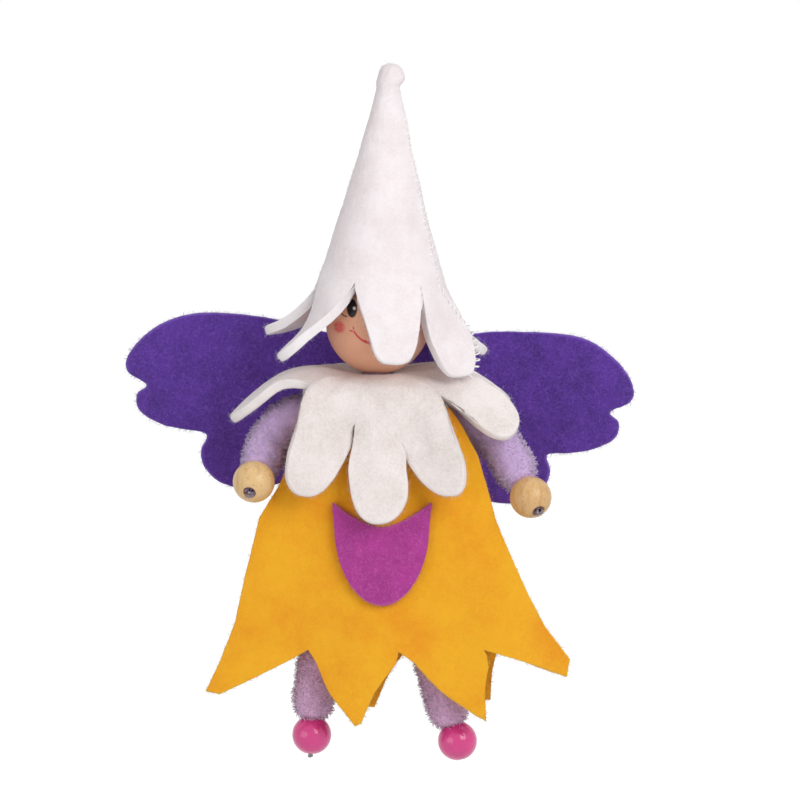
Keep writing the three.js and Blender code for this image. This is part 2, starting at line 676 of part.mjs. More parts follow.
function legPieces(side, chosen) {
  const joint = v(side * HIP_X, HIP_Y, -hipDepth);
  const route = chosen.map(([x, y, z]) => [x, y, z - hipDepth]);
  const lines = limbLines(joint, route, FOOT_RADIUS);
  const radiusAt = (share) => {
    const end = 1 - 0.25 * THREE.MathUtils.smoothstep(share, 0.88, 1);
    return mix(HIP_DOME, LEG_PILE, THREE.MathUtils.smoothstep(share, 0, 0.3)) * end;
  };
  return {
    pile: legPile(lines.pile, radiusAt),
    wire: twistedWire(lines.wire, LIMB_WIRE),
    bead: bead(FOOT_RADIUS, FOOT_BORE, lines.centre, lines.direction),
  };
}

// The top of a leg is a round dome about the hip, so that it clears the body as it swings
function legPile(points, radiusAt) {
  const stations = curveStations(points, 12);
  const first = stations[0];
  const back = points[0].clone().sub(stations[1].at).normalize();
  const dome = [70, 45, 20].map((angle) => {
    const station = { ...first, at: first.at.clone() };
    station.at.addScaledVector(back, HIP_DOME * Math.sin(angle * DEG));
    return ringRound(station, HIP_DOME * Math.cos(angle * DEG), PILE_SIDES);
  });
  const top = [first.at.clone().addScaledVector(back, HIP_DOME)];
  const outer = stations.map((s) => ringRound(s, radiusAt(s.share), PILE_SIDES));
  const bore = pileBore(LIMB_WIRE);
  const inner = stations.map((s) => ringRound(s, bore, PILE_SIDES)).reverse();
  const end = [first.at.clone().addScaledVector(back, bore)];
  return solidFromRings([top, ...dome, ...outer, ...inner, end]);
}

// The arms' stem is wound once round the body's wire, between the two shoulders
function wrapRoute() {
  const radius = SPINE_WIRE * 2 + SEAT + WRAP_RADIUS;
  const stub = SHOULDER_X - SEAT;
  const straight = stub - 2 * WRAP_RADIUS;
  const lead = v(radius + WRAP_RADIUS, -0.4 * radius, 0.3 * WRAP_PITCH);
  const points = [
    v(-stub, SHOULDER_Y, -SHOULDER_DEPTH),
    v(-straight, SHOULDER_Y, -SHOULDER_DEPTH),
    v(-lead.x, lead.y, -SHOULDER_DEPTH + lead.z),
  ];
  const turns = 12;
  for (let i = 0; i <= turns; i++) {
    const angle = -Math.PI / 2 + (2 * Math.PI * i) / turns;
    const z = -SHOULDER_DEPTH + WRAP_PITCH * (0.5 - i / turns);
    points.push(v(radius * Math.cos(angle), radius * Math.sin(angle), z));
  }
  points.push(v(lead.x, lead.y, -SHOULDER_DEPTH - lead.z));
  points.push(v(straight, SHOULDER_Y, -SHOULDER_DEPTH));
  points.push(v(stub, SHOULDER_Y, -SHOULDER_DEPTH));
  return points;
}

// Least distance between two stretches of a tube that are further apart along it
function leastSelfGap(points, radius) {
  const curve = new THREE.CatmullRomCurve3(points, false, 'centripetal');
  const samples = curve.getSpacedPoints(240);
  const step = curve.getLength() / 240;
  const apart = Math.ceil((Math.PI * radius * 1.6) / step);
  let least = Infinity;
  for (let i = 0; i < samples.length; i++) {
    for (let j = i + apart; j < samples.length; j++) {
      least = Math.min(least, samples[i].distanceTo(samples[j]) - 2 * radius);
    }
  }
  return least;
}

function armWrap() {
  const route = wrapRoute();
  const stations = curveStations(route, 44);
  const rings = stations.map((s) => ringRound(s, WRAP_RADIUS, 7));
  const first = [stations[0].at.clone()];
  const last = [stations[stations.length - 1].at.clone()];
  console.log(`arm wrap: least gap to itself ${leastSelfGap(route, WRAP_RADIUS).toFixed(2)} mm`);
  return solidFromRings([first, ...rings, last]);
}

const wrapHalfHeight = WRAP_PITCH / 2 + WRAP_RADIUS;

function neckPile() {
  const top = headCentre - Math.sqrt(HEAD_RADIUS ** 2 - HEAD_BORE ** 2) - SEAT;
  const bottom = -SHOULDER_DEPTH + wrapHalfHeight + SEAT;
  const points = [v(0, 0, top), v(0, 0, (top + bottom) / 2), v(0, 0, bottom)];
  return pileSleeve(points, 2, () => NECK_PILE, pileBore(SPINE_WIRE));
}

function torsoPile() {
  const top = -SHOULDER_DEPTH - wrapHalfHeight - SEAT;
  const bottom = -SPINE_BOTTOM + SEAT;
  const points = [v(0, 0, top), v(0, 0, (top + bottom) / 2), v(0, 0, bottom)];
  const radiusAt = (share) => {
    const top = THREE.MathUtils.smoothstep(share, 0, 0.2);
    const bottom = 1 - 0.3 * THREE.MathUtils.smoothstep(share, 0.8, 1);
    return mix(TORSO_PILE * 0.7, TORSO_PILE, top) * bottom;
  };
  return pileSleeve(points, 8, radiusAt, pileBore(SPINE_WIRE));
}

function spineWire() {
  const middle = (SPINE_TOP - SPINE_BOTTOM) / 2;
  const points = [v(0, 0, SPINE_TOP), v(0, 0, middle), v(0, 0, -SPINE_BOTTOM)];
  return twistedWire(points, SPINE_WIRE);
}

// Colour and surface of each material
const felt = (color) => new THREE.MeshStandardMaterial({ color, roughness: 1, metalness: 0 });
const whiteFelt = felt(0xf3eaec);
const yellowFelt = felt(0xe8a21e);
const magentaFelt = felt(0xa8358a);
const purpleFelt = felt(0x4a2480);
const lilacPile = felt(0xb58ec0);
const mauvePile = felt(0x9a6a8e);
const steelWire = new THREE.MeshStandardMaterial({ color: 0x9a9a9c, roughness: 0.35, metalness: 1 });
const paintedSkin = new THREE.MeshStandardMaterial({ color: 0xdfa584, roughness: 0.5, metalness: 0 });
const bareWood = new THREE.MeshStandardMaterial({ color: 0xd9af78, roughness: 0.45, metalness: 0 });
const pinkPaint = new THREE.MeshStandardMaterial({ color: 0xd1418a, roughness: 0.25, metalness: 0 });

const doll = new THREE.Group();
doll.position.set(-hatCentreX(hatTipZ), 0, -hatTipZ);

function place(name, geometry, material) {
  const mesh = new THREE.Mesh(geometry, material.clone());
  mesh.name = name;
  doll.add(mesh);
}

place('head_bead', bead(HEAD_RADIUS, HEAD_BORE, v(0, 0, headCentre), v(0, 0, 1)), paintedSkin);
place('hat_felt', hatFelt(), whiteFelt);
place('collar_felt', collarFelt(), whiteFelt);
place('dress_front', dressPanel(-1), yellowFelt);
place('dress_back', dressPanel(1), yellowFelt);
place('pocket_felt', pocketFelt(), magentaFelt);
place('wings_felt', wingsFelt(), purpleFelt);
place('spine_wire', spineWire(), steelWire);
place('neck_pile', neckPile(), mauvePile);
place('torso_pile', torsoPile(), mauvePile);
place('arm_stem_wrap', armWrap(), lilacPile);

for (const [name, side, route] of [['left', -1, ARM_LEFT], ['right', 1, ARM_RIGHT]]) {
  const arm = armPieces(side, route);
  place(`arm_pile_${name}`, arm.pile, lilacPile);
  place(`arm_wire_${name}`, arm.wire, steelWire);
  place(`hand_bead_${name}`, arm.bead, bareWood);
}
for (const [name, side, route] of [['left', -1, LEG_LEFT], ['right', 1, LEG_RIGHT]]) {
  const leg = legPieces(side, route);
  place(`leg_pile_${name}`, leg.pile, mauvePile);
  place(`leg_wire_${name}`, leg.wire, steelWire);
  place(`foot_bead_${name}`, leg.bead, pinkPaint);
}

const hangingDoll = new THREE.Group();
hangingDoll.add(doll);

export default hangingDoll;
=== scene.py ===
"""Looks of a hanging felt fairy doll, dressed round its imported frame.

The frame's axes hold throughout: +Z up, the doll faces -Y, the origin is the hat's tip.
Shapes are worked out in millimetres from the doll's neck, as the frame's own solids are, and
then moved to the frame in metres.
"""

from __future__ import annotations

import json
import logging
import math
from dataclasses import dataclass, field
from enum import Enum
from typing import Iterable, Sequence

import bpy
import numpy as np
from mathutils import Euler, Matrix, Vector, noise

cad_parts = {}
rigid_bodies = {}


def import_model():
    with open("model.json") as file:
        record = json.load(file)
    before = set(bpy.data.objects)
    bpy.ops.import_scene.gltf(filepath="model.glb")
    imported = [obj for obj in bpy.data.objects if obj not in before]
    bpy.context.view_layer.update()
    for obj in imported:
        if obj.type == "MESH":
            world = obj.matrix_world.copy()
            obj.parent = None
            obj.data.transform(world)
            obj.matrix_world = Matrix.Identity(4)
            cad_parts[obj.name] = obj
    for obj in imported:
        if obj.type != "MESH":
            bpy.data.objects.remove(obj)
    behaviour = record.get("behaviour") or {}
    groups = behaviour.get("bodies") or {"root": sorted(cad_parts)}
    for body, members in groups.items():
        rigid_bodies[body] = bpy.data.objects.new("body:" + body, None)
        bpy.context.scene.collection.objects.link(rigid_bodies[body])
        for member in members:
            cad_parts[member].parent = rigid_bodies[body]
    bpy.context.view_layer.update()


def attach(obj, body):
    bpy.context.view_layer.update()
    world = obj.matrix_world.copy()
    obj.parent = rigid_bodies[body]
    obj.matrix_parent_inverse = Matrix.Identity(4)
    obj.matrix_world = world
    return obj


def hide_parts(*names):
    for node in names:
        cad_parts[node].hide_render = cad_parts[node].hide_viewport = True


LOG = logging.getLogger("felt_doll")

MM = 0.001
NECK = np.array([-0.0021415, 0.0, -0.0599])  # the neck's middle in the frame, metres
FELT = 1.8
POCKET_FELT = 1.4
SEAT = 0.3
HEAD_RADIUS = 10.0
HEAD_Z = HEAD_RADIUS + SEAT


class Side(Enum):
    """Which side of the doll a limb is on, as the viewer sees it."""

    LEFT = -1
    RIGHT = 1

    @property
    def word(self) -> str:
        """The side's name in the frame's node names."""
        return self.name.lower()


class Panel(Enum):
    """The two panels of the dress."""

    FRONT = -1
    BACK = 1

    @property
    def word(self) -> str:
        """The panel's name in the frame's node names."""
        return self.name.lower()


# Numbers and colours


def linear(code: str, alpha: float = 1.0) -> tuple[float, float, float, float]:
    """Turns an sRGB hex colour to linear.

    Args:
        code: six hex digits, with or without a leading hash.
        alpha: the fourth value.

    Returns:
        Red, green, blue and alpha as a shader socket takes them.
    """
    digits = code.lstrip("#")
    values = [int(digits[i:i + 2], 16) / 255 for i in (0, 2, 4)]
    red, green, blue = (v / 12.92 if v <= 0.04045 else ((v + 0.055) / 1.055) ** 2.4 for v in values)
    return (red, green, blue, alpha)


def smoothstep(x: np.ndarray | float, low: float, high: float) -> np.ndarray:
    """Eases from 0 at low to 1 at high."""
    t = np.clip((np.asarray(x, float) - low) / (high - low), 0, 1)
    return t * t * (3 - 2 * t)


def mix(a: np.ndarray | float, b: np.ndarray | float, t: np.ndarray | float) -> np.ndarray:
    """Goes straight from a to b as t goes from 0 to 1."""
    return a + (b - a) * np.asarray(t, float)


def unit(vectors: np.ndarray) -> np.ndarray:
    """Gives vectors, kept along the last axis, the length 1."""
    length = np.linalg.norm(vectors, axis=-1, keepdims=True)
    return vectors / np.maximum(length, 1e-9)


def along_pairs(pairs: Sequence[Sequence[float]], place: np.ndarray) -> np.ndarray:
    """Reads a list of [place, value] pairs, straight between them.

    Args:
        pairs: the pairs, in rising order of place.
        place: where to read.

    Returns:
        The values there.
    """
    table = np.asarray(pairs, float)
    return np.interp(place, table[:, 0], table[:, 1])


def roughened(points: np.ndarray, layers: Iterable[tuple[float, float]]) -> np.ndarray:
    """Moves points by smooth noise, as hand-cut and handled felt is never true.

    Args:
        points: positions in millimetres.
        layers: pairs of how far a point may move and how long a wave is, in millimetres.

    Returns:
        The moved points.
    """
    moved = points.copy()
    for reach, wave in layers:
        for i, point in enumerate(points):
            moved[i] += np.array(noise.noise_vector(Vector(point) / wave)) * reach
    return moved


# Meshes


@dataclass
class Draft:
    """Points and faces of a mesh that is being drawn up, in millimetres from the neck."""

    points: list[np.ndarray] = field(default_factory=list)
    faces: list[tuple[int, ...]] = field(default_factory=list)
    rim: list[float] = field(default_factory=list)

    def add_ring(self, ring: np.ndarray, rim: float = 0.0) -> list[int]:
        """Adds a ring of points, or one point, and returns their numbers."""
        first = len(self.points)
        self.points.extend(np.atleast_2d(ring))
        self.rim.extend([rim] * (len(self.points) - first))
        return list(range(first, len(self.points)))

    def join_rings(self, rings: Sequence[list[int]], closed: bool) -> None:
        """Joins rings one after another with four-sided faces, or fans where a ring is a point.

        Args:
            rings: point numbers of each ring, all of one count, or a single point.
            closed: whether the last ring is joined to the first.
        """
        pairs = list(zip(rings, rings[1:]))
        if closed:
            pairs.append((rings[-1], rings[0]))
        for lower, upper in pairs:
            count = max(len(lower), len(upper))
            for i in range(count):
                j = (i + 1) % count
                if len(lower) == 1:
                    self.faces.append((lower[0], upper[j], upper[i]))
                elif len(upper) == 1:
                    self.faces.append((lower[i], lower[j], upper[0]))
                else:
                    self.faces.append((lower[i], lower[j], upper[j], upper[i]))

    def mesh_object(self, name: str, rough: Iterable[tuple[float, float]] = ()) -> bpy.types.Object:
        """Makes the object, at the origin and with its place in its mesh.

        Args:
            name: the object's name.
            rough: the noise layers that move its points.

        Returns:
            The object, linked to the scene, smooth, with its faces out.
        """
        points = roughened(np.array(self.points), rough)
        mesh = bpy.data.meshes.new(name)
        mesh.from_pydata((points * MM + NECK).tolist(), [], self.faces)
        mesh.validate()
        if signed_volume(mesh) < 0:
            mesh.flip_normals()
        mesh.polygons.foreach_set("use_smooth", [True] * len(mesh.polygons))
        rim = mesh.attributes.new("rim", "FLOAT", "POINT")
        rim.data.foreach_set("value", self.rim)
        obj = bpy.data.objects.new(name, mesh)
        bpy.context.scene.collection.objects.link(obj)
        return obj


def signed_volume(mesh: bpy.types.Mesh) -> float:
    """The volume inside a closed mesh, below zero where its faces point in."""
    mesh.calc_loop_triangles()
    points = np.zeros(len(mesh.vertices) * 3)
    mesh.vertices.foreach_get("co", points)
    corners = np.zeros(len(mesh.loop_triangles) * 3, np.int32)
    mesh.loop_triangles.foreach_get("vertices", corners)
    a, b, c = points.reshape(-1, 3)[corners.reshape(-1, 3)].transpose(1, 0, 2)
    return float(np.einsum("ij,ij->i", a, np.cross(b, c)).sum() / 6)


def dress_piece(
    obj: bpy.types.Object,
    material: bpy.types.Material,
    body: str,
    stands_for: Sequence[str] = (),
) -> bpy.types.Object:
    """Gives a finished piece its material, its body and the nodes it stands for.

    Args:
        obj: the piece.
        material: its finish.
        body: the frame's body it moves with.
        stands_for: nodes of the frame that it replaces.

    Returns:
        The same piece.
    """
    if not obj.data.materials:
        obj.data.materials.append(material)
    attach(obj, body)
    if stands_for:
        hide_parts(*stands_for)
    LOG.info("%s: %d faces, on %s", obj.name, len(obj.data.polygons), body)
    return obj


# Felt as cut sheets


@dataclass(frozen=True)
class Cut:
    """How a sheet of felt is cut: its thickness and the soft corner that the blade leaves."""

    thickness: float = FELT
    corner: float = 0.55

    def offsets(self) -> list[tuple[float, float]]:
        """Places round one soft corner: how far inside the edge, and how far off the middle."""
        half = self.thickness / 2
        turns = [math.radians(a) for a in (30, 60, 90)]
        return [
            (self.corner * (1 - math.sin(a)), half - self.corner * (1 - math.cos(a))) for a in turns
        ]


NORMAL_PASSES = 4  # how often a sheet's normals are evened out along its rows


def sheet_normals(grid: np.ndarray, around: bool) -> np.ndarray:
    """Unit normals of a sheet's middle surface.

    Args:
        grid: points [row, column, xyz], rows from the middle outwards.
        around: whether the columns close on themselves.

    Returns:
        Normals [row, column, xyz].
    """
    down = np.gradient(grid, axis=0)
    if around:
        across = np.roll(grid, -1, axis=1) - np.roll(grid, 1, axis=1)
    else:
        across = np.gradient(grid, axis=1)
    normals = unit(np.cross(down, across))
    for _ in range(NORMAL_PASSES if around else 0):
        beside = np.roll(normals, -1, axis=1) + np.roll(normals, 1, axis=1)
        normals = unit(beside + 2 * normals)
    return normals


def edge_outward(edge: np.ndarray, inner: np.ndarray, normals: np.ndarray, around: bool) -> np.ndarray:
    """Directions in a sheet that point straight out of one of its edges.

    Args:
        edge: points along the edge.
        inner: the next points inwards.
        normals: the sheet's normals along the edge.
        around: whether the edge closes on itself.

    Returns:
        Unit directions.
    """
    if around:
        along = np.roll(edge, -1, axis=0) - np.roll(edge, 1, axis=0)
    else:
        along = np.gradient(edge, axis=0)
    out = unit(np.cross(along, normals))
    turned = np.einsum("ij,ij->i", out, edge - inner)
    return out * np.where(turned < 0, -1.0, 1.0)[:, None]


def corner_room(
    edge: np.ndarray, inner: np.ndarray, outward: np.ndarray, corner: float, around: bool
) -> np.ndarray:
    """How much of a soft corner fits at each point of an edge before the faces would fold.

    Args:
        edge: points along the edge.
        inner: the next points inwards.
        outward: directions out of the edge.
        corner: how far a whole corner reaches inwards.
        around: whether the edge closes on itself.

    Returns:
        Directions out of the edge, each as long as the share of the corner that fits.
    """
    depth = np.einsum("ij,ij->i", edge - inner, outward)
    along = np.roll(edge, -1, axis=0) - edge
    length = np.linalg.norm(along, axis=-1)
    closing = np.einsum("ij,ij->i", np.roll(outward, -1, axis=0) - outward, along)
    free = 0.6 * length ** 2 / np.maximum(closing, 1e-6)
    if not around:
        free[-1] = corner
    room = np.minimum(np.minimum(free, np.roll(free, 1)), 0.75 * depth)
    return outward * np.clip(room / corner, 0.05, 1)[:, None]


def round_sheet(draft: Draft, grid: np.ndarray, cut: Cut, inner_edge: bool) -> list[list[int]]:
    """Rings over both faces and the cut edges of a sheet that runs round a middle.

    Args:
        draft: the mesh to add to.
        grid: its middle surface, rows from the middle outwards, columns closed.
        cut: the felt and its corners.
        inner_edge: whether the first row is a cut edge too, as at a hole.

    Returns:
        The rings, from the first row of the front face to the first row of the back face.
    """
    normals = sheet_normals(grid, True)
    half = cut.thickness / 2
    outward = edge_outward(grid[-1], grid[-2], normals[-1], True)
    outward = corner_room(grid[-1], grid[-2], outward, cut.corner, True)
    front, back = [], []
    last = len(grid) - 1
    inward = None
    if inner_edge:
        inward = edge_outward(grid[0], grid[1], normals[0], True)
        inward = corner_room(grid[0], grid[1], inward, cut.corner, True)
    for row, (points, normal) in enumerate(zip(grid, normals)):
        inset = np.zeros_like(points)
        if row == last:
            inset = outward * cut.corner
        elif row == 0 and inward is not None:
            inset = inward * cut.corner
        front.append(draft.add_ring(points - inset + normal * half))
        back.append(draft.add_ring(points - inset - normal * half))
    rim = edge_rings(draft, grid[-1], outward, normals[-1], cut)
    rings = front + rim + back[::-1]
    if inward is not None:
        rings += edge_rings(draft, grid[0], inward, normals[0], cut)[::-1]
    return rings


def edge_rings(
    draft: Draft, edge: np.ndarray, outward: np.ndarray, normals: np.ndarray, cut: Cut
) -> list[list[int]]:
    """Rings round the two soft corners of a cut edge, from the front face to the back."""
    offsets = cut.offsets()
    front = [draft.add_ring(edge - outward * o + normals * h, 1.0) for o, h in offsets]
    back = [draft.add_ring(edge - outward * o - normals * h, 1.0) for o, h in offsets[::-1]]
    return front + back


def patch_sheet(draft: Draft, grid: np.ndarray, cut: Cut, normals: np.ndarray) -> None:
    """Both faces and the four cut edges of a sheet with a top, a bottom and two sides.

    Args:
        draft: the mesh to add to.
        grid: its middle surface [row, column, xyz].
        cut: the felt and its corners.
        normals: its unit normals, out of its front face.
    """
    half = cut.thickness / 2

    def outward(edge: np.ndarray, inner: np.ndarray, normal: np.ndarray) -> np.ndarray:
        """Directions out of one edge, as long as the share of a corner that fits there."""
        straight = edge_outward(edge, inner, normal, False)
        return corner_room(edge, inner, straight, cut.corner, False)

    ends = [
        outward(grid[0], grid[1], normals[0]),
        outward(grid[-1], grid[-2], normals[-1]),
    ]
    left = outward(grid[:, 0], grid[:, 1], normals[:, 0])
    right = outward(grid[:, -1], grid[:, -2], normals[:, -1])
    last = len(grid) - 1

    def ring(row: int, end: np.ndarray | None, inset: float, lift: float) -> list[int]:
        """One ring round the sheet: front face, right edge, back face and left edge."""
        middle = grid[row] - (0 if end is None else end * inset)
        normal = normals[row]
        middle[0] -= left[row] * cut.corner
        middle[-1] -= right[row] * cut.corner
        shown = 1.0 if end is not None and inset < cut.corner else 0.0
        numbers = draft.add_ring(middle + normal * lift, shown)
        numbers += side_points(draft, middle[-1], right[row], normal[-1], cut.corner, lift)
        numbers += draft.add_ring((middle - normal * lift)[::-1], shown)
        numbers += side_points(draft, middle[0], left[row], -normal[0], cut.corner, lift)
        return numbers

    offsets = cut.offsets()
    rings = [ring(0, ends[0], o, h) for o, h in offsets[::-1]]
    rings.append(ring(0, ends[0], cut.corner, half))
    rings += [ring(row, None, 0, half) for row in range(1, last)]
    rings.append(ring(last, ends[1], cut.corner, half))
    rings += [ring(last, ends[1], o, h) for o, h in offsets]
    draft.join_rings(rings, False)
    for numbers, flip in ((rings[0], False), (rings[-1], True)):
        cap_strip(draft, numbers, grid.shape[1], flip)


SIDE_TURNS = (45, 90)  # places round a side edge's soft corner, degrees


def side_points(
    draft: Draft, corner: np.ndarray, outward: np.ndarray, normal: np.ndarray, reach: float, lift: float
) -> list[int]:
    """Points over a side edge, from the face that the normal points out of to the other one."""
    deep = min(reach, lift * 0.95)
    near = []
    for angle in SIDE_TURNS:
        a = math.radians(angle)
        near.append((reach * math.sin(a), lift - deep * (1 - math.cos(a))))
    far = [(out, -up) for out, up in near[::-1]]
    numbers = []
    for out, up in near + far:
        numbers += draft.add_ring(corner + outward * out + normal * up, 1.0)
    return numbers


def cap_strip(draft: Draft, ring: list[int], columns: int, flip: bool) -> None:
    """Closes a sheet's end: its front row against its back row, with a fan at each side."""
    rounds = 2 * len(SIDE_TURNS)
    front = ring[:columns]
    right = ring[columns:columns + rounds]
    back = ring[columns + rounds:2 * columns + rounds][::-1]
    left = ring[2 * columns + rounds:]
    faces = [(front[i], front[i + 1], back[i + 1], back[i]) for i in range(columns - 1)]
    faces.append((front[-1], *right, back[-1]))
    faces.append((back[0], *left, front[0]))
    draft.faces.extend([face if flip else face[::-1] for face in faces])


# Node trees


def add_node(
    tree: bpy.types.NodeTree, kind: str, feeds: dict | None = None, **settings
) -> bpy.types.Node:
    """Adds a node with its settings, values and links.

    Args:
        tree: the shader or geometry tree.
        kind: the node's type.
        feeds: for inputs, by name or identifier, a value or the socket that feeds it.
        **settings: the node's own properties.

    Returns:
        The node.
    """
    node = tree.nodes.new(kind)
    for name, value in settings.items():
        setattr(node, name, value)
    for name, value in (feeds or {}).items():
        socket = next(s for s in node.inputs if s.enabled and name in (s.identifier, s.name))
        if isinstance(value, bpy.types.NodeSocket):
            tree.links.new(value, socket)
        else:
            socket.default_value = value
    return node


def out(node: bpy.types.Node, name: str = "") -> bpy.types.NodeSocket:
    """A node's output by name, or its first one in use."""
    return next(s for s in node.outputs if s.enabled and name in ("", s.name))


def new_material(name: str) -> tuple[bpy.types.Material, bpy.types.NodeTree]:
    """An empty material and its tree."""
    material = bpy.data.materials.new(name)
    material.use_nodes = True
    material.node_tree.nodes.clear()
    return material, material.node_tree


def finish_shader(
    tree: bpy.types.NodeTree, colour: bpy.types.NodeSocket | tuple, feeds: dict
) -> bpy.types.Node:
    """Ends a material with its surface shader and its output.

    Args:
        tree: the material's tree.
        colour: the base colour, or the socket that gives it.
        feeds: the shader's other inputs.

    Returns:
        The surface shader.
    """
    shader = add_node(tree, "ShaderNodeBsdfPrincipled", {"Base Color": colour, **feeds})
    add_node(tree, "ShaderNodeOutputMaterial", {"Surface": out(shader)})
    return shader


# Finishes


@dataclass(frozen=True)
class WoolFelt:
    """Pressed wool felt: quite matt, cloudy in tone, with short curled fibres in its face, and a painted
    highlight along its cut edges.
    """

    name: str
    base: str
    shade: str
    glint: str
    cloud_mm: float = 7.0
    fibre_mm: float = 1.3
    cloud_share: float = 0.75
    fibre_share: float = 0.3
    speck_share: float = 0.2

    def material(self) -> bpy.types.Material:
        """Builds the felt's material.

        Returns:
            The material, with clouds, mottling and fibres at their real sizes, and a painted highlight along its
            cut edges.
        """
        material, tree = new_material(self.name)
        place = out(add_node(tree, "ShaderNodeTexCoord"), "Object")
        cloud = out(add_node(tree, "ShaderNodeTexNoise", {
            "Vector": place, "Scale": 1 / (self.cloud_mm * MM), "Detail": 3.0, "Roughness": 0.6,
        }), "Fac")
        mottle = out(add_node(tree, "ShaderNodeTexNoise", {
            "Vector": place, "Scale": 1 / (0.5 * MM), "Detail": 3.0, "Roughness": 0.65,
        }), "Fac")
        threads = [self.fibres(tree, place, turn) for turn in (0.0, 0.9)]
        fibre = out(add_node(tree, "ShaderNodeMath", {"Value": threads[0], "Value_001": threads[1]},
                             operation="MAXIMUM"))
        depth = out(add_node(tree, "ShaderNodeMapRange", {
            "Value": cloud, "From Min": 0.36, "From Max": 0.66, "To Min": 0.0,
            "To Max": self.cloud_share,
        }))
        speck = out(add_node(tree, "ShaderNodeMapRange", {
            "Value": mottle, "From Min": 0.3, "From Max": 0.7, "To Min": self.speck_share,
            "To Max": -self.speck_share,
        }))
        tone = out(add_node(tree, "ShaderNodeMath", {"Value": depth, "Value_001": speck},
                            operation="ADD", use_clamp=True))
        body = out(add_node(tree, "ShaderNodeMix", {
            "Factor_Float": tone, "A_Color": linear(self.base), "B_Color": linear(self.shade),
        }, data_type="RGBA"))
        rim = out(add_node(tree, "ShaderNodeAttribute", attribute_name="rim"), "Fac")
        light = out(add_node(tree, "ShaderNodeMath", {
            "Value": fibre, "Value_001": self.fibre_share, "Value_002": 0.0,
        }, operation="MULTIPLY_ADD"))
        # Painted highlight: the cut edges, marked by the rim value, are mixed towards the pale highlight colour
        # as if light caught them; the fibres take the same paler colour.
        edge = out(add_node(tree, "ShaderNodeMath", {
            "Value": rim, "Value_001": 0.45, "Value_002": light,
        }, operation="MULTIPLY_ADD", use_clamp=True))
        colour = out(add_node(tree, "ShaderNodeMix", {
            "Factor_Float": edge, "A_Color": body, "B_Color": linear(self.glint),
        }, data_type="RGBA"))
        height = out(add_node(tree, "ShaderNodeMath", {
            "Value": fibre, "Value_001": 0.12, "Value_002": mottle,
        }, operation="MULTIPLY_ADD"))
        bump = out(add_node(tree, "ShaderNodeBump", {
            "Height": height, "Strength": 0.5, "Distance": 0.12 * MM,
        }))
        finish_shader(tree, colour, {
            "Roughness": 0.95, "Specular IOR Level": 0.15, "Sheen Weight": 0.25,
            "Sheen Roughness": 0.6, "Normal": bump,
        })
        return material

    def fibres(
        self, tree: bpy.types.NodeTree, place: bpy.types.NodeSocket, turn: float
    ) -> bpy.types.NodeSocket:
        """Thin curled lines, drawn about twice as wide as a wool fibre so that they show.

        Args:
            tree: the material's tree.
            place: the point on the felt.
            turn: how far the layer is turned, in radians.

        Returns:
            1 on a fibre and 0 beside it.
        """
        moved = out(add_node(tree, "ShaderNodeMapping", {
            "Vector": place, "Location": (turn, turn * 0.37, 0.0), "Rotation": (turn, 0.4, turn),
            "Scale": (1.0, 0.55, 1.0),
        }))
        field_ = out(add_node(tree, "ShaderNodeTexNoise", {
            "Vector": moved, "Scale": 1 / (self.fibre_mm * MM), "Detail": 1.0, "Distortion": 0.9,
        }), "Fac")
        off = out(add_node(tree, "ShaderNodeMath", {"Value": field_, "Value_001": 0.5},
                           operation="SUBTRACT"))
        away = out(add_node(tree, "ShaderNodeMath", {"Value": off}, operation="ABSOLUTE"))
        return out(add_node(tree, "ShaderNodeMapRange", {
            "Value": away, "From Min": 0.0, "From Max": 0.028, "To Min": 1.0, "To Max": 0.0,
        }))


@dataclass(frozen=True)
class Fibre:
    """Loose fibre ends: darker and duller at the root, paler and softer at the tip, which is painted shade among
    the roots and painted light on the tips.
    """

    name: str
    root: str
    tip: str
    fleck: str

    def material(self) -> bpy.types.Material:
        """Builds the fibres' material, which reads the tip and fleck values of each fibre."""
        material, tree = new_material(self.name)
        place = out(add_node(tree, "ShaderNodeTexCoord"), "Object")
        tip = out(add_node(tree, "ShaderNodeAttribute", attribute_name="tip"), "Fac")
        fleck = out(add_node(tree, "ShaderNodeAttribute", attribute_name="fleck"), "Fac")
        tuft = out(add_node(tree, "ShaderNodeTexNoise", {
            "Vector": place, "Scale": 1 / (2.6 * MM), "Detail": 2.0,
        }), "Fac")
        # Painted shade and light: the colour runs from the darker root colour to the paler tip colour along each
        # fibre.
        reach = out(add_node(tree, "ShaderNodeMapRange", {
            "Value": tip, "From Min": 0.15, "From Max": 0.95, "To Min": 0.0, "To Max": 1.0,
        }))
        body = out(add_node(tree, "ShaderNodeMix", {
            "Factor_Float": reach, "A_Color": linear(self.root), "B_Color": linear(self.tip),
        }, data_type="RGBA"))
        share = out(add_node(tree, "ShaderNodeMath", {"Value": fleck, "Value_001": tuft},
                             operation="MULTIPLY"))
        colour = out(add_node(tree, "ShaderNodeMix", {
            "Factor_Float": share, "A_Color": body, "B_Color": linear(self.fleck),
        }, data_type="RGBA"))
        facing = out(add_node(tree, "ShaderNodeAttribute", attribute_name="facing"), "Vector")
        stored = out(add_node(tree, "ShaderNodeVectorMath", {"Vector": facing}, operation="LENGTH"),
                     "Value")
        own = out(add_node(tree, "ShaderNodeVectorTransform", {
            "Vector": out(add_node(tree, "ShaderNodeNewGeometry"), "Normal"),
        }, vector_type="NORMAL", convert_from="WORLD", convert_to="OBJECT"))
        part = out(add_node(tree, "ShaderNodeMath", {"Value": stored, "Value_001": 0.6},
                            operation="MULTIPLY"))
        chosen = out(add_node(tree, "ShaderNodeMix", {
            "Factor_Float": part, "A_Vector": own, "B_Vector": facing,
        }, data_type="VECTOR"))
        lit = out(add_node(tree, "ShaderNodeVectorTransform", {
            "Vector": chosen,
        }, vector_type="NORMAL", convert_from="OBJECT", convert_to="WORLD"))
        finish_shader(tree, colour, {
            "Roughness": 0.85, "Specular IOR Level": 0.2, "Sheen Weight": 0.2,
            "Sheen Roughness": 0.5, "Normal": lit,
        })
        return material


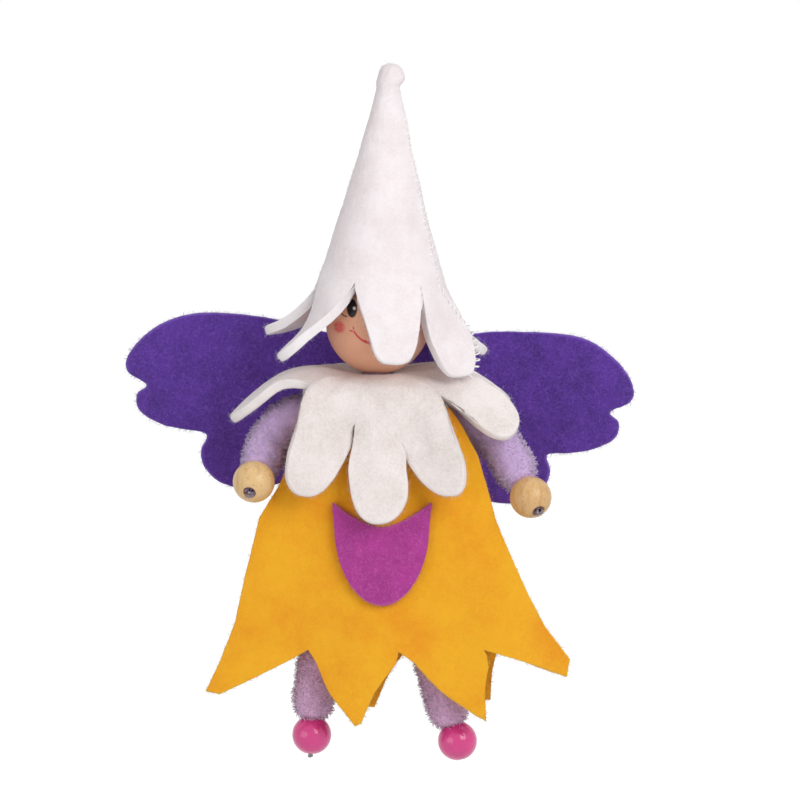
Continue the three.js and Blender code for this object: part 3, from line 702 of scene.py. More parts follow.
@dataclass(frozen=True)
class TurnedWood:
    """Clear-lacquered beech, turned: straight fine grain, short dark ray flecks, soft gloss."""

    name: str
    base: str
    grain: str
    fleck: str
    centre: tuple[float, float, float]
    along: tuple[float, float, float]

    def material(self) -> bpy.types.Material:
        """Builds the bead's wood, with its grain along the direction that it was cut."""
        material, tree = new_material(self.name)
        place = out(add_node(tree, "ShaderNodeTexCoord"), "Object")
        turn = Vector(self.along).to_track_quat("Z", "Y").inverted().to_euler()
        centred = out(add_node(tree, "ShaderNodeVectorMath", {
            "Vector": place, "Vector_001": tuple(np.array(self.centre) * MM + NECK),
        }, operation="SUBTRACT"))
        turned = out(add_node(tree, "ShaderNodeMapping", {
            "Vector": centred, "Rotation": tuple(turn), "Scale": (1.0, 1.0, 0.12),
        }))
        lines = out(add_node(tree, "ShaderNodeTexNoise", {
            "Vector": turned, "Scale": 1 / (1.1 * MM), "Detail": 3.0, "Roughness": 0.6,
            "Distortion": 0.35,
        }), "Fac")
        streak = out(add_node(tree, "ShaderNodeMapRange", {
            "Value": lines, "From Min": 0.5, "From Max": 0.72, "To Min": 0.0, "To Max": 0.75,
        }))
        rays = out(add_node(tree, "ShaderNodeTexNoise", {
            "Vector": place, "Scale": 1 / (0.3 * MM), "Detail": 2.0,
        }), "Fac")
        spots = out(add_node(tree, "ShaderNodeMapRange", {
            "Value": rays, "From Min": 0.62, "From Max": 0.7, "To Min": 0.0, "To Max": 0.6,
        }))
        body = out(add_node(tree, "ShaderNodeMix", {
            "Factor_Float": streak, "A_Color": linear(self.base), "B_Color": linear(self.grain),
        }, data_type="RGBA"))
        colour = out(add_node(tree, "ShaderNodeMix", {
            "Factor_Float": spots, "A_Color": body, "B_Color": linear(self.fleck),
        }, data_type="RGBA"))
        bump = out(add_node(tree, "ShaderNodeBump", {
            "Height": lines, "Strength": 0.2, "Distance": 0.08 * MM,
        }))
        finish_shader(tree, colour, {
            "Roughness": 0.34, "Specular IOR Level": 0.45, "Normal": bump,
        })
        return material


@dataclass(frozen=True)
class BeadPaint:
    """Opaque gloss paint, dipped on a wooden bead: even, with a hint of the wood's grain."""

    name: str
    base: str
    shade: str
    roughness: float = 0.22

    def material(self) -> bpy.types.Material:
        """Builds the paint."""
        material, tree = new_material(self.name)
        place = out(add_node(tree, "ShaderNodeTexCoord"), "Object")
        patch = out(add_node(tree, "ShaderNodeTexNoise", {
            "Vector": place, "Scale": 1 / (3.0 * MM), "Detail": 2.0,
        }), "Fac")
        share = out(add_node(tree, "ShaderNodeMapRange", {
            "Value": patch, "From Min": 0.4, "From Max": 0.7, "To Min": 0.0, "To Max": 0.45,
        }))
        colour = out(add_node(tree, "ShaderNodeMix", {
            "Factor_Float": share, "A_Color": linear(self.base), "B_Color": linear(self.shade),
        }, data_type="RGBA"))
        bump = out(add_node(tree, "ShaderNodeBump", {
            "Height": patch, "Strength": 0.12, "Distance": 0.15 * MM,
        }))
        finish_shader(tree, colour, {
            "Roughness": self.roughness, "Specular IOR Level": 0.5, "Coat Weight": 0.3,
            "Coat Roughness": 0.12, "Normal": bump,
        })
        return material


@dataclass(frozen=True)
class Spot:
    """One painted oval of the face, seen from the front, in millimetres.

    The face is the same on both sides, so across is measured from its middle line.
    """

    across: float
    height: float
    half_width: float
    half_height: float
    colour: str
    turn: float = 0.0
    soft: float = 0.12
    strength: float = 1.0


@dataclass(frozen=True)
class Stroke:
    """One painted arc of the face: part of a circle, from the front, in millimetres."""

    across: float
    height: float
    radius: float
    colour: str
    half_width: float
    window: Spot


@dataclass(frozen=True)
class FacePaint:
    """Satin flesh paint on the head bead, with eyes, cheeks and a smile put on by brush."""

    name: str
    skin: str
    shade: str
    middle: float
    spots: tuple[Spot, ...]
    strokes: tuple[Stroke, ...]
    cheek: Spot

    def material(self) -> bpy.types.Material:
        """Builds the painted head.

        Returns:
            The material. Its marks lie only on the front half of the bead.
        """
        material, tree = new_material(self.name)
        place = out(add_node(tree, "ShaderNodeTexCoord"), "Object")
        patch = out(add_node(tree, "ShaderNodeTexNoise", {
            "Vector": place, "Scale": 1 / (6.0 * MM), "Detail": 3.0,
        }), "Fac")
        share = out(add_node(tree, "ShaderNodeMapRange", {
            "Value": patch, "From Min": 0.4, "From Max": 0.7, "To Min": 0.0, "To Max": 0.5,
        }))
        colour = out(add_node(tree, "ShaderNodeMix", {
            "Factor_Float": share, "A_Color": linear(self.skin), "B_Color": linear(self.shade),
        }, data_type="RGBA"))
        local = out(add_node(tree, "ShaderNodeVectorMath", {
            "Vector": place,
            "Vector_001": tuple(np.array([self.middle, 0.0, 0.0]) * MM + NECK),
        }, operation="SUBTRACT"))
        split = add_node(tree, "ShaderNodeSeparateXYZ", {"Vector": local})
        aside = out(add_node(tree, "ShaderNodeMath", {"Value": out(split, "X")},
                             operation="ABSOLUTE"))
        face = out(add_node(tree, "ShaderNodeCombineXYZ", {"X": aside, "Y": 0.0,
                                                           "Z": out(split, "Z")}))
        front = out(add_node(tree, "ShaderNodeMath", {"Value": out(split, "Y"), "Value_001": 0.0},
                             operation="LESS_THAN"))
        grain = out(add_node(tree, "ShaderNodeTexNoise", {
            "Vector": place, "Scale": 1 / (0.22 * MM), "Detail": 1.0,
        }), "Fac")
        stipple = out(add_node(tree, "ShaderNodeMapRange", {
            "Value": grain, "From Min": 0.4, "From Max": 0.52, "To Min": 0.25, "To Max": 1.0,
        }))
        marks = [(self.spot_mask(tree, face, self.cheek), stipple, self.cheek.colour)]
        marks += [(self.stroke_mask(tree, face, s), None, s.colour) for s in self.strokes]
        marks += [(self.spot_mask(tree, face, s), None, s.colour) for s in self.spots]
        for mask, factor, code in marks:
            shown = out(add_node(tree, "ShaderNodeMath", {"Value": mask, "Value_001": front},
                                 operation="MULTIPLY"))
            if factor is not None:
                shown = out(add_node(tree, "ShaderNodeMath", {"Value": shown, "Value_001": factor},
                                     operation="MULTIPLY"))
            colour = out(add_node(tree, "ShaderNodeMix", {
                "Factor_Float": shown, "A_Color": colour, "B_Color": linear(code),
            }, data_type="RGBA"))
        rings = out(add_node(tree, "ShaderNodeTexNoise", {
            "Vector": out(add_node(tree, "ShaderNodeMapping", {
                "Vector": place, "Scale": (0.12, 0.12, 1.0)})),
            "Scale": 1 / (0.9 * MM), "Detail": 2.0,
        }), "Fac")
        bump = out(add_node(tree, "ShaderNodeBump", {
            "Height": rings, "Strength": 0.12, "Distance": 0.12 * MM,
        }))
        finish_shader(tree, colour, {
            "Roughness": 0.42, "Specular IOR Level": 0.4, "Normal": bump,
        })
        return material

    def spot_mask(
        self, tree: bpy.types.NodeTree, face: bpy.types.NodeSocket, spot: Spot
    ) -> bpy.types.NodeSocket:
        """1 inside a painted oval, easing to 0 at its edge.

        Args:
            tree: the material's tree.
            face: the point on the face, mirrored to one side.
            spot: the oval.

        Returns:
            The mask.
        """
        moved = out(add_node(tree, "ShaderNodeVectorMath", {
            "Vector": face, "Vector_001": (spot.across * MM, 0.0, spot.height * MM),
        }, operation="SUBTRACT"))
        turned = out(add_node(tree, "ShaderNodeVectorRotate", {
            "Vector": moved, "Axis": (0.0, 1.0, 0.0), "Angle": spot.turn,
        }))
        scaled = out(add_node(tree, "ShaderNodeVectorMath", {
            "Vector": turned,
            "Vector_001": (1 / (spot.half_width * MM), 0.0, 1 / (spot.half_height * MM)),
        }, operation="MULTIPLY"))
        far = out(add_node(tree, "ShaderNodeVectorMath", {"Vector": scaled}, operation="LENGTH"),
                  "Value")
        return out(add_node(tree, "ShaderNodeMapRange", {
            "Value": far, "From Min": 1 - spot.soft, "From Max": 1 + spot.soft,
            "To Min": spot.strength, "To Max": 0.0,
        }))

    def stroke_mask(
        self, tree: bpy.types.NodeTree, face: bpy.types.NodeSocket, stroke: Stroke
    ) -> bpy.types.NodeSocket:
        """1 on a painted arc, kept to its window.

        Args:
            tree: the material's tree.
            face: the point on the face, mirrored to one side.
            stroke: the arc.

        Returns:
            The mask.
        """
        moved = out(add_node(tree, "ShaderNodeVectorMath", {
            "Vector": face, "Vector_001": (stroke.across * MM, 0.0, stroke.height * MM),
        }, operation="SUBTRACT"))
        far = out(add_node(tree, "ShaderNodeVectorMath", {"Vector": moved}, operation="LENGTH"),
                  "Value")
        off = out(add_node(tree, "ShaderNodeMath", {"Value": far, "Value_001": stroke.radius * MM},
                           operation="SUBTRACT"))
        away = out(add_node(tree, "ShaderNodeMath", {"Value": off}, operation="ABSOLUTE"))
        line = out(add_node(tree, "ShaderNodeMapRange", {
            "Value": away, "From Min": stroke.half_width * 0.8 * MM,
            "From Max": stroke.half_width * 1.2 * MM, "To Min": 1.0, "To Max": 0.0,
        }))
        window = self.spot_mask(tree, face, stroke.window)
        return out(add_node(tree, "ShaderNodeMath", {"Value": line, "Value_001": window},
                            operation="MULTIPLY"))


@dataclass(frozen=True)
class DrawnWire:
    """Bright drawn steel wire: a grey metal with fine lines and a few dull places."""

    name: str = "drawn_steel_wire"
    base: str = "#8E8C90"
    dull: str = "#5C5450"

    def material(self) -> bpy.types.Material:
        """Builds the wire's metal."""
        material, tree = new_material(self.name)
        place = out(add_node(tree, "ShaderNodeTexCoord"), "Object")
        patch = out(add_node(tree, "ShaderNodeTexNoise", {
            "Vector": place, "Scale": 1 / (0.6 * MM), "Detail": 3.0,
        }), "Fac")
        colour = out(add_node(tree, "ShaderNodeMix", {
            "Factor_Float": patch, "A_Color": linear(self.base), "B_Color": linear(self.dull),
        }, data_type="RGBA"))
        bump = out(add_node(tree, "ShaderNodeBump", {
            "Height": patch, "Strength": 0.2, "Distance": 0.03 * MM,
        }))
        finish_shader(tree, colour, {"Metallic": 1.0, "Roughness": 0.38, "Normal": bump})
        return material


# Each felt: its name, base colour, darker cloud colour, and the pale colour of its fibres and of the painted
# highlight on its cut edges.
WHITE_FELT = WoolFelt("white_wool_felt", "#FCF4F6", "#ECDDE0", "#FFFDFE", cloud_share=0.6,
                      fibre_share=0.15)
# The collar's felt is the hat's white felt painted greyer: painted shade for the shade that falls on it under the
# head and hat.
SHADED_COLLAR_FELT = WoolFelt("white_wool_felt_of_the_collar", "#F5ECEA", "#E2D6D0", "#FFF9F9",
                       cloud_share=0.7, fibre_share=0.15, speck_share=0.4)
YELLOW_FELT = WoolFelt("yellow_wool_felt", "#F6B21C", "#EE9612", "#FAD040", cloud_mm=10.0,
                       fibre_share=0.08, speck_share=0.25)
MAGENTA_FELT = WoolFelt("magenta_wool_felt", "#B43C96", "#9C3282", "#D06CB8", cloud_mm=5.0,
                        fibre_share=0.35)
PURPLE_FELT = WoolFelt("purple_wool_felt", "#5C349C", "#47277C", "#8258C4", cloud_mm=6.0,
                       fibre_share=0.4, speck_share=0.5)
# Each fibre finish: a darker root colour as painted shade, a paler tip colour as painted light, and a fleck
# colour that varies at random.
WHITE_FUZZ = Fibre("white_felt_fuzz", "#FBF4F6", "#FFFCFD", "#EFE4E4")
YELLOW_FUZZ = Fibre("yellow_felt_fuzz", "#F4B01C", "#F9CC48", "#EC9A14")
MAGENTA_FUZZ = Fibre("magenta_felt_fuzz", "#B43C96", "#D47CBE", "#A0348A")
PURPLE_FUZZ = Fibre("purple_felt_fuzz", "#6238A8", "#8A5CD0", "#4C2888")
LILAC_PILE = Fibre("lilac_chenille_pile", "#DABBE8", "#FAECFF", "#CCA8DE")
MAUVE_PILE = Fibre("mauve_chenille_pile", "#E2B4DA", "#FFECFA", "#CFA0CC")
SEAM_THREAD = Fibre("white_seam_thread", "#FFFAFA", "#FFFFFF", "#E8DCDC")


class Finishes:
    """Every material of the doll, each built once when it is first asked for."""

    def __init__(self) -> None:
        """Starts with none built."""
        self.built: dict[str, bpy.types.Material] = {}

    def of(self, finish: WoolFelt | Fibre | TurnedWood | BeadPaint | FacePaint | DrawnWire) -> bpy.types.Material:
        """The material of a finish."""
        if finish.name not in self.built:
            self.built[finish.name] = finish.material()
        return self.built[finish.name]


FINISHES = Finishes()


# Geometry node trees


def tree_input(
    tree: bpy.types.NodeTree, name: str, kind: str, value: float | int | None = None
) -> None:
    """Adds a named input to a geometry tree.

    Args:
        tree: the tree.
        name: the input's name.
        kind: its socket type.
        value: its value where the modifier sets none.
    """
    socket = tree.interface.new_socket(name, in_out="INPUT", socket_type=kind)
    if value is not None:
        socket.default_value = value


def baked(
    source: bpy.types.Object, tree: bpy.types.NodeTree, values: dict, name: str
) -> bpy.types.Object:
    """Runs a geometry tree on an object and keeps the result as a plain mesh.

    Args:
        source: what the tree starts from. It is left without the modifier.
        tree: the geometry tree.
        values: its inputs by name.
        name: the new object's name.

    Returns:
        The new object, at the origin.
    """
    modifier = source.modifiers.new(name, "NODES")
    modifier.node_group = tree
    for item in tree.interface.items_tree:
        if item.item_type == "SOCKET" and item.in_out == "INPUT" and item.name in values:
            modifier[item.identifier] = values[item.name]
    source.update_tag()
    bpy.context.view_layer.update()
    graph = bpy.context.evaluated_depsgraph_get()
    mesh = bpy.data.meshes.new_from_object(source.evaluated_get(graph))
    mesh.name = name
    source.modifiers.remove(modifier)
    made = bpy.data.objects.new(name, mesh)
    bpy.context.scene.collection.objects.link(made)
    return made


@dataclass
class FibreCoat:
    """Fibres that stand on a surface: the fuzz of felt, or the pile of a chenille stem.

    Lengths are millimetres, densities are fibres on a square millimetre.
    """

    density: float
    length: float
    thickness: float
    lean: float
    rim_density: float = 0.0
    spread: float = 0.5
    curl: float = 0.25
    taper: float = 0.35
    bends: int = 2
    seed: int = 1

    TREE = "fibre_coat"

    @classmethod
    def tree(cls) -> bpy.types.NodeTree:
        """The geometry tree that all coats share, built at its first use."""
        if cls.TREE in bpy.data.node_groups:
            return bpy.data.node_groups[cls.TREE]
        tree = bpy.data.node_groups.new(cls.TREE, "GeometryNodeTree")
        tree_input(tree, "Surface", "NodeSocketGeometry")
        for name in ("Density", "Rim Density", "Length", "Thickness", "Lean", "Spread", "Curl", "Taper"):
            tree_input(tree, name, "NodeSocketFloat", 0.1)
        tree_input(tree, "Bends", "NodeSocketInt", 2)
        tree_input(tree, "Seed", "NodeSocketInt", 1)
        tree_input(tree, "Material", "NodeSocketMaterial")
        tree.interface.new_socket("Fibres", in_out="OUTPUT", socket_type="NodeSocketGeometry")
        given = add_node(tree, "NodeGroupInput")
        rim = out(add_node(tree, "GeometryNodeInputNamedAttribute", {"Name": "rim"},
                           data_type="FLOAT"))
        density = out(add_node(tree, "ShaderNodeMath", {
            "Value": rim, "Value_001": out(given, "Rim Density"), "Value_002": out(given, "Density"),
        }, operation="MULTIPLY_ADD"))
        spots = add_node(tree, "GeometryNodeDistributePointsOnFaces", {
            "Mesh": out(given, "Surface"), "Density": density, "Seed": out(given, "Seed"),
        }, distribute_method="RANDOM")
        facing = add_node(tree, "FunctionNodeRotateVector", {
            "Vector": (0.0, 0.0, 1.0), "Rotation": out(spots, "Rotation"),
        })
        ends = [out(add_node(tree, "ShaderNodeVectorMath", {
            "Vector": place, "Scale": out(given, "Length"),
        }, operation="SCALE"), "Vector") for place in (
            (0.0, 0.0, -0.06), (0.0, 0.0, 0.55),
            out(add_node(tree, "ShaderNodeCombineXYZ", {"X": out(given, "Curl"), "Z": 1.0})),
        )]
        line = out(add_node(tree, "GeometryNodeCurveQuadraticBezier", {
            "Resolution": out(given, "Bends"), "Start": ends[0], "Middle": ends[1], "End": ends[2],
        }))
        share = out(add_node(tree, "GeometryNodeSplineParameter"), "Factor")
        marked = out(add_node(tree, "GeometryNodeStoreNamedAttribute", {
            "Geometry": line, "Name": "tip", "Value": share,
        }, data_type="FLOAT", domain="POINT"))
        slimmer = out(add_node(tree, "ShaderNodeMapRange", {
            "Value": share, "To Min": 1.0, "To Max": out(given, "Taper"),
        }))
        radius = out(add_node(tree, "ShaderNodeMath", {
            "Value": out(given, "Thickness"), "Value_001": 0.5,
        }, operation="MULTIPLY"))
        ring = out(add_node(tree, "GeometryNodeCurvePrimitiveCircle", {
            "Resolution": 3, "Radius": radius,
        }))
        strand = out(add_node(tree, "GeometryNodeCurveToMesh", {
            "Curve": marked, "Profile Curve": ring, "Scale": slimmer, "Fill Caps": True,
        }))
        tilt = out(add_node(tree, "FunctionNodeRandomValue", {
            "Min_001": 0.0, "Max_001": out(given, "Lean"), "Seed": out(given, "Seed"),
        }, data_type="FLOAT"))
        spin = out(add_node(tree, "FunctionNodeRandomValue", {
            "Min_001": -math.pi, "Max_001": math.pi, "Seed": 77,
        }, data_type="FLOAT"))
        turn = out(add_node(tree, "ShaderNodeCombineXYZ", {"X": tilt, "Z": spin}))
        turned = out(add_node(tree, "FunctionNodeRotateRotation", {
            "Rotation": out(spots, "Rotation"),
            "Rotate By": out(add_node(tree, "FunctionNodeEulerToRotation", {"Euler": turn})),
        }, rotation_space="LOCAL"))
        shortest = out(add_node(tree, "ShaderNodeMath", {
            "Value": 1.0, "Value_001": out(given, "Spread"),
        }, operation="SUBTRACT"))
        size = out(add_node(tree, "FunctionNodeRandomValue", {
            "Min_001": shortest, "Max_001": 1.0, "Seed": 31,
        }, data_type="FLOAT"))
        scale = out(add_node(tree, "ShaderNodeCombineXYZ", {"X": size, "Y": size, "Z": size}))
        stood = out(add_node(tree, "GeometryNodeInstanceOnPoints", {
            "Points": out(spots, "Points"), "Instance": strand, "Rotation": turned, "Scale": scale,
        }))
        fleck = out(add_node(tree, "FunctionNodeRandomValue", {
            "Min_001": 0.0, "Max_001": 1.0, "Seed": 5,
        }, data_type="FLOAT"))
        toned = out(add_node(tree, "GeometryNodeStoreNamedAttribute", {
            "Geometry": stood, "Name": "fleck", "Value": fleck,
        }, data_type="FLOAT", domain="INSTANCE"))
        faced = out(add_node(tree, "GeometryNodeStoreNamedAttribute", {
            "Geometry": toned, "Name": "facing", "Value": out(facing, "Vector"),
        }, data_type="FLOAT_VECTOR", domain="INSTANCE"))
        real = out(add_node(tree, "GeometryNodeRealizeInstances", {"Geometry": faced}))
        painted = out(add_node(tree, "GeometryNodeSetMaterial", {
            "Geometry": real, "Material": out(given, "Material"),
        }))
        add_node(tree, "NodeGroupOutput", {"Fibres": painted})
        return tree

    def on(self, surface: bpy.types.Object, name: str, finish: Fibre) -> bpy.types.Object:
        """Grows the coat on a surface.

        Args:
            surface: the object that carries the fibres.
            name: the coat's name.
            finish: its fibres' finish.

        Returns:
            The coat, a plain mesh of its own.
        """
        per_metre = 1 / (MM * MM)
        made = baked(surface, self.tree(), {
            "Density": self.density * per_metre,
            "Rim Density": self.rim_density * per_metre,
            "Length": self.length * MM,
            "Thickness": self.thickness * MM,
            "Lean": self.lean,
            "Spread": self.spread,
            "Curl": self.curl,
            "Taper": self.taper,
            "Bends": self.bends,
            "Seed": self.seed,
            "Material": FINISHES.of(finish),
        }, name)
        made.data.polygons.foreach_set("use_smooth", [True] * len(made.data.polygons))
        made.visible_shadow = False  # the real ends are far finer and shade almost nothing
        return made


@dataclass
class StitchRow:
    """Overcast stitches along a seam: short loops of thread that lie over two felt edges."""

    reach: float
    thread: float
    slant: float

    TREE = "stitch_row"

    @classmethod
    def tree(cls) -> bpy.types.NodeTree:
        """The geometry tree that lays one loop at each point, built at its first use."""
        if cls.TREE in bpy.data.node_groups:
            return bpy.data.node_groups[cls.TREE]
        tree = bpy.data.node_groups.new(cls.TREE, "GeometryNodeTree")
        tree_input(tree, "Places", "NodeSocketGeometry")
        for name in ("Reach", "Thread", "Slant"):
            tree_input(tree, name, "NodeSocketFloat", 0.001)
        tree_input(tree, "Material", "NodeSocketMaterial")
        tree.interface.new_socket("Stitches", in_out="OUTPUT", socket_type="NodeSocketGeometry")
        given = add_node(tree, "NodeGroupInput")
        loop = out(add_node(tree, "GeometryNodeCurveArc", {
            "Resolution": 9, "Radius": out(given, "Reach"), "Start Angle": math.radians(-20),
            "Sweep Angle": math.radians(220),
        }))
        share = out(add_node(tree, "GeometryNodeSplineParameter"), "Factor")
        marked = out(add_node(tree, "GeometryNodeStoreNamedAttribute", {
            "Geometry": loop, "Name": "tip", "Value": share,
        }, data_type="FLOAT", domain="POINT"))
        round_ = out(add_node(tree, "GeometryNodeCurvePrimitiveCircle", {
            "Resolution": 6, "Radius": out(given, "Thread"),
        }))
        strand = out(add_node(tree, "GeometryNodeCurveToMesh", {
            "Curve": marked, "Profile Curve": round_, "Fill Caps": True,
        }))
        turn = out(add_node(tree, "GeometryNodeInputNamedAttribute", {"Name": "turn"},
                            data_type="FLOAT_VECTOR"))
        lean = out(add_node(tree, "ShaderNodeCombineXYZ", {"Y": out(given, "Slant")}))
        turned = out(add_node(tree, "FunctionNodeRotateRotation", {
            "Rotation": out(add_node(tree, "FunctionNodeEulerToRotation", {"Euler": turn})),
            "Rotate By": out(add_node(tree, "FunctionNodeEulerToRotation", {"Euler": lean})),
        }, rotation_space="LOCAL"))
        size = out(add_node(tree, "FunctionNodeRandomValue", {
            "Min_001": 0.8, "Max_001": 1.15, "Seed": 3,
        }, data_type="FLOAT"))
        scale = out(add_node(tree, "ShaderNodeCombineXYZ", {"X": size, "Y": size, "Z": 1.0}))
        laid = out(add_node(tree, "GeometryNodeInstanceOnPoints", {
            "Points": out(given, "Places"), "Instance": strand, "Rotation": turned, "Scale": scale,
        }))
        real = out(add_node(tree, "GeometryNodeRealizeInstances", {"Geometry": laid}))
        painted = out(add_node(tree, "GeometryNodeSetMaterial", {
            "Geometry": real, "Material": out(given, "Material"),
        }))
        add_node(tree, "NodeGroupOutput", {"Stitches": painted})
        return tree

    def along(
        self, places: np.ndarray, outward: np.ndarray, name: str, finish: Fibre
    ) -> bpy.types.Object:
        """Lays the stitches.

        Args:
            places: where each crosses the seam, millimetres from the neck, in order.
            outward: the direction away from the felt at each.
            name: the row's name.
            finish: the thread.

        Returns:
            The row of stitches, a plain mesh.
        """
        mesh = bpy.data.meshes.new(name + "_places")
        mesh.from_pydata((places * MM + NECK).tolist(), [], [])
        tangents = unit(np.gradient(places, axis=0))
        turns = []
        for tangent, direction in zip(tangents, outward):
            across = unit(np.cross(direction, tangent))
            up = unit(np.cross(tangent, across))
            frame = Matrix((across, up, tangent)).transposed()
            turns.extend(frame.to_euler())
        attribute = mesh.attributes.new("turn", "FLOAT_VECTOR", "POINT")
        attribute.data.foreach_set("vector", turns)
        carrier = bpy.data.objects.new(name + "_places", mesh)
        bpy.context.scene.collection.objects.link(carrier)
        made = baked(carrier, self.tree(), {
            "Reach": self.reach * MM,
            "Thread": self.thread * MM,
            "Slant": self.slant,
            "Material": FINISHES.of(finish),
        }, name)
        bpy.data.objects.remove(carrier)
        made.data.polygons.foreach_set("use_smooth", [True] * len(made.data.polygons))
        return made


FELT_FUZZ = FibreCoat(density=0.8, rim_density=5.0, length=0.9, thickness=0.045, lean=1.45,
                      spread=0.7, curl=0.6)


# Petals


@dataclass(frozen=True)
class Petal:
    """One petal of a petalled sheet, and the notch that follows it. Degrees and millimetres.

    angle is where it points and reach how far it goes. aim and face are the ways its end heads
    and looks, turn how steeply its end stands out or hangs, start and bend where along it the
    felt turns, tilt how far it leans sideways, rise how far it climbs before it hangs, and half
    half its width before it narrows to a notch.
    """

    angle: float
    reach: float
    notch_angle: float
    notch: float
    turn: float
    face: float
    aim: float = 0.0
    start: float = 0.0
    bend: float = 1.0
    tilt: float = 0.0
    rise: float = 0.0
    half: float = 6.8


@dataclass(frozen=True)
class Columns:
    """The columns of a petalled sheet, in order round its middle.

    through is how far through its petal a column is, from -1 to 1, and half the angle between
    the petal's middle and the notch on the column's side. notch is that notch's distance.
    """

    through: np.ndarray
    petal: np.ndarray
    neighbour: np.ndarray
    half: np.ndarray
    notch: np.ndarray
    petals: tuple[Petal, ...]

    def of(self, name: str, neighbour: bool = False) -> np.ndarray:
        """One of the petals' numbers, for each column's own petal or the next one to it."""
        which = self.neighbour if neighbour else self.petal
        return np.array([getattr(p, name) for p in self.petals], float)[which]

    @property
    def angle(self) -> np.ndarray:
        """Each column's direction at the sheet's middle, in radians."""
        return np.radians(self.of("angle") + self.through * self.half)


def petal_columns(petals: tuple[Petal, ...], steps: int) -> Columns:
    """Columns of round-ended petals side by side.

    Args:
        petals: the petals, their angles rising from the front.
        steps: columns of one petal. They crowd towards the notches, where the edge is steep.

    Returns:
        The columns.
    """
    through, petal, neighbour, half, notch = [], [], [], [], []
    for n, own in enumerate(petals):
        before = petals[n - 1]
        for i in range(steps):
            t = math.sin(math.pi / 2 * (2 * i / steps - 1))
            near = before if t < 0 else own
            through.append(t)
            petal.append(n)
            neighbour.append((n + (-1 if t < 0 else 1)) % len(petals))
            half.append(abs((near.notch_angle - own.angle + 180) % 360 - 180))
            notch.append(near.notch)
    arrays = (np.array(values) for values in (through, petal, neighbour, half, notch))
    return Columns(*arrays, petals)


def outward_of(angle: np.ndarray) -> np.ndarray:
    """Level directions at angles from the front towards the viewer's right."""
    return np.stack([np.sin(angle), -np.cos(angle), np.zeros_like(angle)], axis=-1)


def sideways_of(angle: np.ndarray) -> np.ndarray:
    """Level directions a quarter turn on from outward_of."""
    return np.stack([np.cos(angle), np.sin(angle), np.zeros_like(angle)], axis=-1)


# The doll's parts


